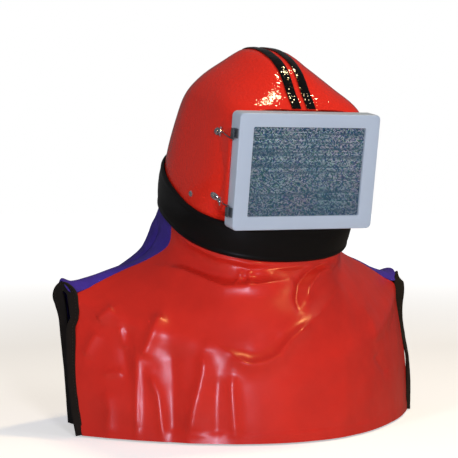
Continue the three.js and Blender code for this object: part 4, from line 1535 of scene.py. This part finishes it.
@dataclass(frozen=True)
class CapePanel:
    """A panel of the cape, from under the band down over the shoulder to its hem, in millimetres.

    Its small waves are given by their sizes and rises.
    """

    form: HelmetForm
    name: str
    node: str
    facing: Facing
    sections: tuple[CapeSection, ...]
    folds: tuple[Fold, ...]
    slot: Slot
    across: int = 240
    down: int = 176
    wall: float = 1.6
    tuck: float = 26.0
    tuck_gap: float = 0.8
    tuck_foot: float = 1.0
    seam_lap: float = 0.6
    crest_peak: float = 12.2
    seen_from: float = 25.0
    seen_width: float = 250.0
    waves: Line = ((62.0, 1.1), (21.0, 0.4))
    lift_most: float = 9.0
    fold_starts: tuple[float, float] = (0.165, 0.22)
    fold_edge: float = 0.1
    hem: float = 14.0
    hem_step: float = 1.5
    hem_rise: float = 0.7

    def line(self, share: float) -> list[Vector]:
        """Gives the points of one line down the panel.

        Args:
            share: Where it is across, from -1 to 1.

        Returns:
            Points from under the band to the hem, in millimetres.
        """
        way = self.facing.value
        lean = share * math.pi / 2
        bow = Matrix.Rotation(math.radians(self.form.bow_degrees), 4, "X")
        centre = 0.0 if self.facing is Facing.FRONT else math.pi
        lap = 0.0 if self.facing is Facing.FRONT else self.seam_lap
        turn = centre + way * lean * (1 + lap / FRONT_SECTIONS[0].edge_x)
        points = [
            bow @ self.form.point(turn, self.form.band_drop(turn) - up, self.tuck_gap + self.wall)
            for up in (self.tuck, self.tuck / 2, self.tuck_foot)
        ]
        for row in self.sections:
            oval = 1 - math.cos(lean)
            side = oval + (math.sin(lean) ** 2 - oval) * row.flat
            swell = 1 + row.belly * math.sin(2 * lean) ** 2
            rise = row.crest * self.crest_peak * side ** 4 * (1 - side)
            edge_y = row.edge_y - lap
            points.append(Vector((
                row.edge_x * math.sin(lean) * swell,
                edge_y + (row.mid_y - edge_y) * (1 - side) * swell,
                row.mid_z + (row.edge_z - row.mid_z) * side + rise,
            )))
        return points

    def hung(self) -> np.ndarray:
        """Gives the panel before its folds: rows down, points across, in millimetres."""
        shares = np.linspace(-1, 1, self.across + 1) * self.facing.value
        lines = [self.line(share) for share in shares]
        return np.array([
            [curve_point(line, r / self.down) for line in lines] for r in range(self.down + 1)
        ])

    @staticmethod
    def normals(grid: np.ndarray) -> np.ndarray:
        """Gives the outward unit normals of a grid of points."""
        down = np.gradient(grid, axis=0)
        along = np.gradient(grid, axis=1)
        normal = np.cross(down, along)
        return normal / np.linalg.norm(normal, axis=2, keepdims=True)

    def folded(self) -> np.ndarray:
        """Gives the panel with its folds, its small waves and its turned hem, in millimetres."""
        grid = self.hung()
        shares = np.abs(np.linspace(-1, 1, self.across + 1))[None, :]
        depth = np.linspace(0, 1, self.down + 1)[:, None]
        if self.facing is Facing.FRONT:
            turn = math.radians(self.seen_from)
            x = grid[:, :, 0] * math.cos(turn) - grid[:, :, 1] * math.sin(turn)
        else:
            x = np.sign(grid[:, :, 0]) * shares * self.seen_width
        z = grid[:, :, 2]
        lift = sum(fold.lift(x, z) for fold in self.folds)
        waves = np.array([
            [sum(noise.noise(Vector(p) / size) * rise for size, rise in self.waves) for p in row]
            for row in grid
        ])
        lift = np.clip(lift + waves, -self.lift_most, self.lift_most)
        lift *= smooth(depth, *self.fold_starts) * smooth(1.0 - shares, 0.0, self.fold_edge)
        span = np.linalg.norm(np.diff(grid, axis=0), axis=2)
        to_hem = np.vstack([np.cumsum(span[::-1], axis=0)[::-1], np.zeros((1, grid.shape[1]))])
        lift += self.hem_rise * (1.0 - smooth(to_hem, self.hem - self.hem_step, self.hem))
        return grid + self.normals(grid) * lift[:, :, None]

    def build(self, material: bpy.types.Material) -> bpy.types.Object:
        """Hangs a grid on the panel's points, maps its cloth in metres and gives it a thickness.

        Args:
            material: The cloth's finish.

        Returns:
            The panel.
        """
        grid = self.folded() * MM
        bm = bmesh.new()
        layer = bm.loops.layers.uv.verify()
        bmesh.ops.create_grid(bm, x_segments=self.across, y_segments=self.down, size=0.5)
        cells = {
            vert: (round((0.5 - vert.co.y) * self.down), round((vert.co.x + 0.5) * self.across))
            for vert in bm.verts
        }
        over = np.cumsum(np.linalg.norm(np.diff(grid, axis=1, prepend=grid[:, :1]), axis=2), axis=1)
        deep = np.cumsum(np.linalg.norm(np.diff(grid, axis=0, prepend=grid[:1]), axis=2), axis=0)
        for face in bm.faces:
            for loop in face.loops:
                cell = cells[loop.vert]
                loop[layer].uv = (over[cell] - over[cell[0], -1] / 2, deep[cell])
        for vert, cell in cells.items():
            vert.co = grid[cell]
        bm.normal_update()
        outward = self.normals(grid)
        if sum(vert.normal.dot(Vector(outward[cell])) for vert, cell in cells.items()) < 0:
            bmesh.ops.reverse_faces(bm, faces=bm.faces[:])
        bmesh.ops.solidify(bm, geom=bm.faces[:], thickness=self.wall * MM)
        return make_piece(
            bm, Matrix.Identity(4), self.name, material, [self.node], crease=70.0,
        )


@dataclass(frozen=True)
class BindingPoint:
    """A place on the middle line of an arm opening's binding, in millimetres.

    Its face looks so many degrees back from straight sideways.
    """

    x: float
    y: float
    z: float
    face: float
    width: float


RIGHT_OPENING = (
    BindingPoint(249.5, 33.5, -485, -62, 13),
    BindingPoint(253.2, 40, -453, -62, 13),
    BindingPoint(256.1, 47.5, -412, -62, 11.5),
    BindingPoint(254.5, 56, -362, -58, 13),
    BindingPoint(253, 58.5, -344, -50, 12),
    BindingPoint(249, 58.2, -334, -45, 11.5),
    BindingPoint(248.1, 60.2, -325, -45, 14.5),
    BindingPoint(248, 63.2, -314, -45, 15.5),
    BindingPoint(248.9, 68.2, -302, -42, 15),
    BindingPoint(252, 75.5, -295.5, -35, 13),
    BindingPoint(256.5, 84, -293, -25, 12.5),
    BindingPoint(259.5, 90, -298, -35, 14),
    BindingPoint(259, 93.5, -307, -48, 16.5),
    BindingPoint(255.5, 96, -318, -48, 15.5),
    BindingPoint(250.2, 101.5, -336, -42, 13.5),
    BindingPoint(247, 107.5, -355, -34, 12.5),
    BindingPoint(238, 118.5, -412, -24, 13),
    BindingPoint(230.5, 126.5, -485, -20, 13),
)
LEFT_OPENING = (
    BindingPoint(250, 33.5, -485, -62, 14),
    BindingPoint(254.5, 39.5, -453, -58, 14),
    BindingPoint(257.5, 46.5, -409, -40, 13),
    BindingPoint(254.5, 52, -386, -52, 13),
    BindingPoint(251.5, 57, -361, -75, 12),
    BindingPoint(252, 61, -338, -88, 13),
    BindingPoint(255, 65, -316, -90, 17),
    BindingPoint(257.5, 70, -301, -84, 17),
    BindingPoint(260, 80, -295, -40, 15),
    BindingPoint(259.5, 91, -304, -24, 16),
    BindingPoint(254.5, 99.5, -328, -24, 15),
    BindingPoint(247.5, 107.5, -358, -24, 14),
    BindingPoint(238, 118.5, -412, -24, 13),
    BindingPoint(230.5, 126.5, -485, -20, 13),
)


@dataclass(frozen=True)
class Binding:
    """The cloth binding folded over the edges of an arm opening, with a row of stitches.

    Its section is in shares of half its width and half its thickness; the groove that the
    stitches lie in is a share of half its width aside. Its puckers are given by their sizes and
    rises. Other sizes are in millimetres, but its map is in metres.
    """

    side: Side
    points: tuple[BindingPoint, ...]
    thick: float = 4.0
    steps: int = 180
    look_ahead: float = 0.004
    width_spacing: float = 8.0
    puckers: Line = ((6.0, 0.3), (19.0, 0.4))
    map_half: float = 0.007
    stitch_pitch: float = 4.2
    stitch_walk: int = 1200
    stitch_aside: float = 0.45
    stitch_out: float = 0.47
    stitch_shape: tuple[float, float, float] = (1.5, 0.45, 0.4)
    section: Line = (
        (1.0, 0.0), (0.97, 0.55), (0.88, 0.9), (0.7, 1.0), (0.45, 0.86), (0.3, 0.98), (0.0, 1.0),
        (-0.5, 1.0), (-0.85, 0.92), (-0.97, 0.55), (-1.0, 0.0), (-0.97, -0.55), (-0.85, -0.92),
        (-0.4, -1.0), (0.4, -1.0), (0.85, -0.92), (0.97, -0.55),
    )

    def frame_at(self, share: float) -> tuple[Vector, Vector, Vector, float]:
        """Gives a place on the binding.

        Args:
            share: How far along, from the front hem to the back hem.

        Returns:
            The middle, the outward and the widthways directions, and half the width.
        """
        sign = self.side.value
        middles = [Vector((sign * p.x, p.y, p.z)) for p in self.points]
        turns = [math.radians(p.face) for p in self.points]
        faces = [Vector((sign * math.cos(turn), math.sin(turn), 0.0)) for turn in turns]
        widths = [Vector((p.width, 0.0, i * self.width_spacing)) for i, p in enumerate(self.points)]
        after = curve_point(middles, min(share + self.look_ahead, 1.0))
        along = (after - curve_point(middles, max(share - self.look_ahead, 0.0))).normalized()
        out = curve_point(faces, share)
        out = (out - along * out.dot(along)).normalized()
        return curve_point(middles, share), out, along.cross(out), curve_point(widths, share).x / 2

    def build(self, material: bpy.types.Material) -> bpy.types.Object:
        """Lofts the folded strip along the opening's edge.

        Args:
            material: The cloth's finish.

        Returns:
            The binding.
        """
        rings, gone = [], [0.0]
        last = self.frame_at(0.0)[0]
        for k in range(self.steps + 1):
            middle, out, wide, half = self.frame_at(k / self.steps)
            pucker = sum(rise * noise.noise(middle / size) for size, rise in self.puckers)
            rings.append([
                middle + wide * (w * half) + out * (t * self.thick / 2 + (pucker if t > 0 else 0.0))
                for w, t in self.section
            ])
            gone.append(gone[-1] + (middle - last).length * MM)
            last = middle
        bm = bmesh.new()
        layer = bm.loops.layers.uv.verify()
        made = loft(bm, rings, joined=False)
        count = len(self.section)
        cells = {vert: divmod(i, count) for i, vert in enumerate(made)}
        for face in bm.faces:
            for loop in face.loops:
                row, column = cells[loop.vert]
                loop[layer].uv = (gone[row + 1], self.section[column][0] * self.map_half)
        label = self.side.label
        return make_piece(
            bm, Matrix.Scale(MM, 4), f"edge_binding_{label}", material,
            [f"binding_{label}"], crease=75.0,
        )

    def stitches(self, material: bpy.types.Material) -> bpy.types.Object:
        """Sews a row of stitches into the binding's groove.

        Args:
            material: The thread's finish.

        Returns:
            The row of stitches.
        """
        bm = bmesh.new()
        bm.loops.layers.uv.verify()
        length, last = 0.0, self.frame_at(0.0)[0]
        due = self.stitch_pitch
        shape = Matrix.Diagonal((*self.stitch_shape, 1))
        for k in range(1, self.stitch_walk):
            middle, out, wide, half = self.frame_at(k / self.stitch_walk)
            length += (middle - last).length
            last = middle
            if length < due:
                continue
            due += self.stitch_pitch
            along = out.cross(wide)
            turn = Matrix((along, wide, out)).transposed().to_4x4()
            off = wide * (self.stitch_aside * half) + out * (self.thick * self.stitch_out)
            place = Matrix.Translation(middle + off)
            bmesh.ops.create_icosphere(bm, subdivisions=1, radius=1.0, matrix=place @ turn @ shape)
        return make_piece(
            bm, Matrix.Scale(MM, 4), f"binding_stitches_{self.side.label}", material,
            crease=180.0,
        )


# Studio


@dataclass(frozen=True)
class Lamp:
    """A soft lamp: where it stands, its size, power and colour, and what it lights."""

    name: str
    place: tuple[float, float, float]
    size: float
    power: float
    colour: tuple[float, float, float]
    soft: bool = True
    mirrored: bool = True

    def light(self, target: Vector) -> None:
        """Adds the lamp, turned to a target."""
        data = bpy.data.lights.new(self.name, "AREA")
        data.shape = "DISK"
        data.size = self.size
        data.energy = self.power
        data.color = self.colour
        obj = bpy.data.objects.new(self.name, data)
        obj.location = self.place
        obj.visible_diffuse = self.soft
        obj.visible_glossy = self.mirrored
        obj.rotation_euler = (target - Vector(self.place)).to_track_quat("-Z", "Y").to_euler()
        bpy.context.scene.collection.objects.link(obj)


@dataclass(frozen=True)
class Studio:
    """The pale floor, the lamps and the camera at the photograph's angle."""

    eye: tuple[float, float, float] = (-0.8692, -1.7548, -0.1351)
    pitch: float = 87.57
    azimuth: float = -25.0
    lens: float = 113.97
    sensor: float = 36.0
    floor_z: float = -0.4875
    floor_radius: float = 9.0
    floor_sides: int = 96
    floor_rough: float = 0.9
    floor_tone: Colour = (0.9, 0.9, 0.91, 1.0)
    floor_mirrored: Colour = (0.16, 0.16, 0.16, 1.0)
    floor_near_glow: float = 0.45
    floor_far_glow: float = 1.0
    sky: float = 0.13
    sky_tone: Colour = (0.97, 0.98, 1.0, 1.0)
    sky_mirrored: float = 0.8
    backdrop: Colour = (1.0, 1.0, 1.0, 1.0)
    floor_clear: float = 1.1
    floor_far: float = 3.2
    lamp_target: tuple[float, float, float] = (0.0, 0.0, -0.2)
    lamps: tuple[Lamp, ...] = (
        Lamp("key", (-0.5, -1.98, 0.12), 0.3, 18.6, (0.97, 0.95, 0.98), mirrored=False),
        Lamp("flash", (-1.17, -1.63, -0.4), 0.24, 13.0, (0.76, 0.76, 1.0), soft=False),
        Lamp("gleam", (0.28, -1.34, 1.4), 0.6, 30.0, (1.0, 0.6, 0.22), soft=False),
        Lamp("overhead", (0.62, -0.1, 1.65), 0.24, 15.0, (1.0, 0.76, 0.42)),
        Lamp("edge", (-1.69, -0.98, 0.6), 0.3, 9.8, (1.0, 0.94, 0.92), mirrored=False),
        Lamp("fill", (1.2, -1.25, 1.1), 1.2, 9.0, (1.0, 0.98, 0.95), mirrored=False),
    )

    def camera(self) -> None:
        """Sets the camera where the photograph was taken from."""
        data = bpy.data.cameras.new("photo_camera")
        data.lens = self.lens
        data.sensor_width = self.sensor
        obj = bpy.data.objects.new("photo_camera", data)
        obj.location = self.eye
        obj.rotation_euler = (math.radians(self.pitch), 0.0, math.radians(self.azimuth))
        bpy.context.scene.collection.objects.link(obj)
        bpy.context.scene.camera = obj

    def floor(self) -> None:
        """Lays the pale floor under the hem."""
        bm = bmesh.new()
        bmesh.ops.create_circle(
            bm, cap_ends=True, segments=self.floor_sides, radius=self.floor_radius,
        )
        bmesh.ops.translate(bm, vec=(0, 0, self.floor_z), verts=bm.verts[:])
        mesh = bpy.data.meshes.new("floor")
        bm.to_mesh(mesh)
        bm.free()
        material = bpy.data.materials.new("floor_pale")
        material.use_nodes = True
        shader = material.node_tree.nodes["Principled BSDF"]
        shader.inputs["Roughness"].default_value = self.floor_rough
        shader.inputs["Emission Strength"].default_value = 1.0
        board = Board(material.node_tree)
        place = board.add("TexCoord")
        away = board.add("VectorMath", operation="LENGTH")
        glow = board.add("MapRange", {
            "From Min": self.floor_clear, "From Max": self.floor_far,
            "To Min": self.floor_near_glow, "To Max": self.floor_far_glow,
        })
        seen = board.add("LightPath")
        shown = board.add("Math", operation="MULTIPLY")
        dimmed = board.add(
            "Mix", {"A": self.floor_tone, "B": self.floor_mirrored}, data_type="RGBA",
        )
        board.wire(
            (seen, "Is Glossy Ray", dimmed, "Factor"), (dimmed, "Result", shader, "Base Color"),
            (place, "Object", away, 0), (away, "Value", glow, "Value"), (glow, "Result", shown, 0),
            (seen, "Is Camera Ray", shown, 1), (shown, 0, shader, "Emission Color"),
        )
        mesh.materials.append(material)
        obj = bpy.data.objects.new("floor", mesh)
        bpy.context.scene.collection.objects.link(obj)

    def sky_light(self) -> None:
        """Gives a white surround that lights softly and shows white."""
        world = bpy.data.worlds.new("studio")
        world.use_nodes = True
        board = Board(world.node_tree)
        soft = world.node_tree.nodes["Background"]
        soft.inputs["Color"].default_value = self.sky_tone
        shown = board.add("Background", {"Color": self.backdrop, "Strength": 1.0})
        seen = board.add("LightPath")
        strength = board.add("Mix", {"A": self.sky, "B": self.sky * self.sky_mirrored})
        mix = board.add("MixShader")
        board.wire(
            (seen, "Is Glossy Ray", strength, "Factor"), (strength, "Result", soft, "Strength"),
            (seen, "Is Camera Ray", mix, "Fac"), (soft, 0, mix, 1), (shown, 0, mix, 2),
            (mix, 0, world.node_tree.nodes["World Output"], "Surface"),
        )
        bpy.context.scene.world = world

    def build(self) -> None:
        """Sets up the whole studio."""
        bpy.context.scene.view_settings.view_transform = "Standard"
        self.sky_light()
        self.floor()
        for lamp in self.lamps:
            lamp.light(Vector(self.lamp_target))
        self.camera()


def build_helmet(form: HelmetForm, effects: Effects) -> None:
    """Builds the hard pieces of the helmet.

    Args:
        form: The helmet's moulded form.
        effects: The shared node groups.
    """
    red, black = SHELL_RED.material(effects), STRIP_BLACK.material(effects)
    chrome, steel = CHROME.material(effects), DARK_STEEL.material(effects)
    shell = Shell(form)
    shell.body(red)
    for side in Side:
        shell.strip(side, black)
        shell.rivet(side, chrome)
        for row in CATCH_PLACES:
            catch = Catch(form, *row)
            catch.plate(side, chrome)
            catch.clip(side, steel)
            catch.hook(side, steel)
    window = Window(form)
    window.border(FRAME_GREY.material(effects))
    window.screen(SCREEN_WIRE.material(effects))
    window.pane(PANE_SMOKE.material(effects))
    RimBand(form).build(BAND_RUBBER.material(effects))


def build_cape(form: HelmetForm, effects: Effects) -> None:
    """Builds the cape's panels, their bindings and the bindings' stitches.

    Args:
        form: The helmet's moulded form, which the cape is tucked round.
        effects: The shared node groups.
    """
    front = CapePanel(
        form, "bib_front", "cape_front", Facing.FRONT, FRONT_SECTIONS, FRONT_FOLDS, Slot.CAPE_RED,
    ).build(CAPE_RED.material(effects))
    back = CapePanel(
        form, "panel_back", "cape_back", Facing.BACK, BACK_SECTIONS, BACK_FOLDS, Slot.CAPE_BLUE,
    ).build(CAPE_BLUE.material(effects))
    cloth, thread = BINDING_BLACK.material(effects), THREAD_BLACK.material(effects)
    trims = []
    for side, opening in ((Side.RIGHT, RIGHT_OPENING), (Side.LEFT, LEFT_OPENING)):
        binding = Binding(side, opening)
        trims += [binding.build(cloth), binding.stitches(thread)]


def main() -> None:
    """Builds the studio, the helmet and its cape."""
    logging.basicConfig(level=logging.INFO, format="%(name)s %(message)s")
    form = HelmetForm()
    effects = Effects()
    Studio().build()
    build_helmet(form, effects)
    build_cape(form, effects)


if __name__ == "__main__":
    main()
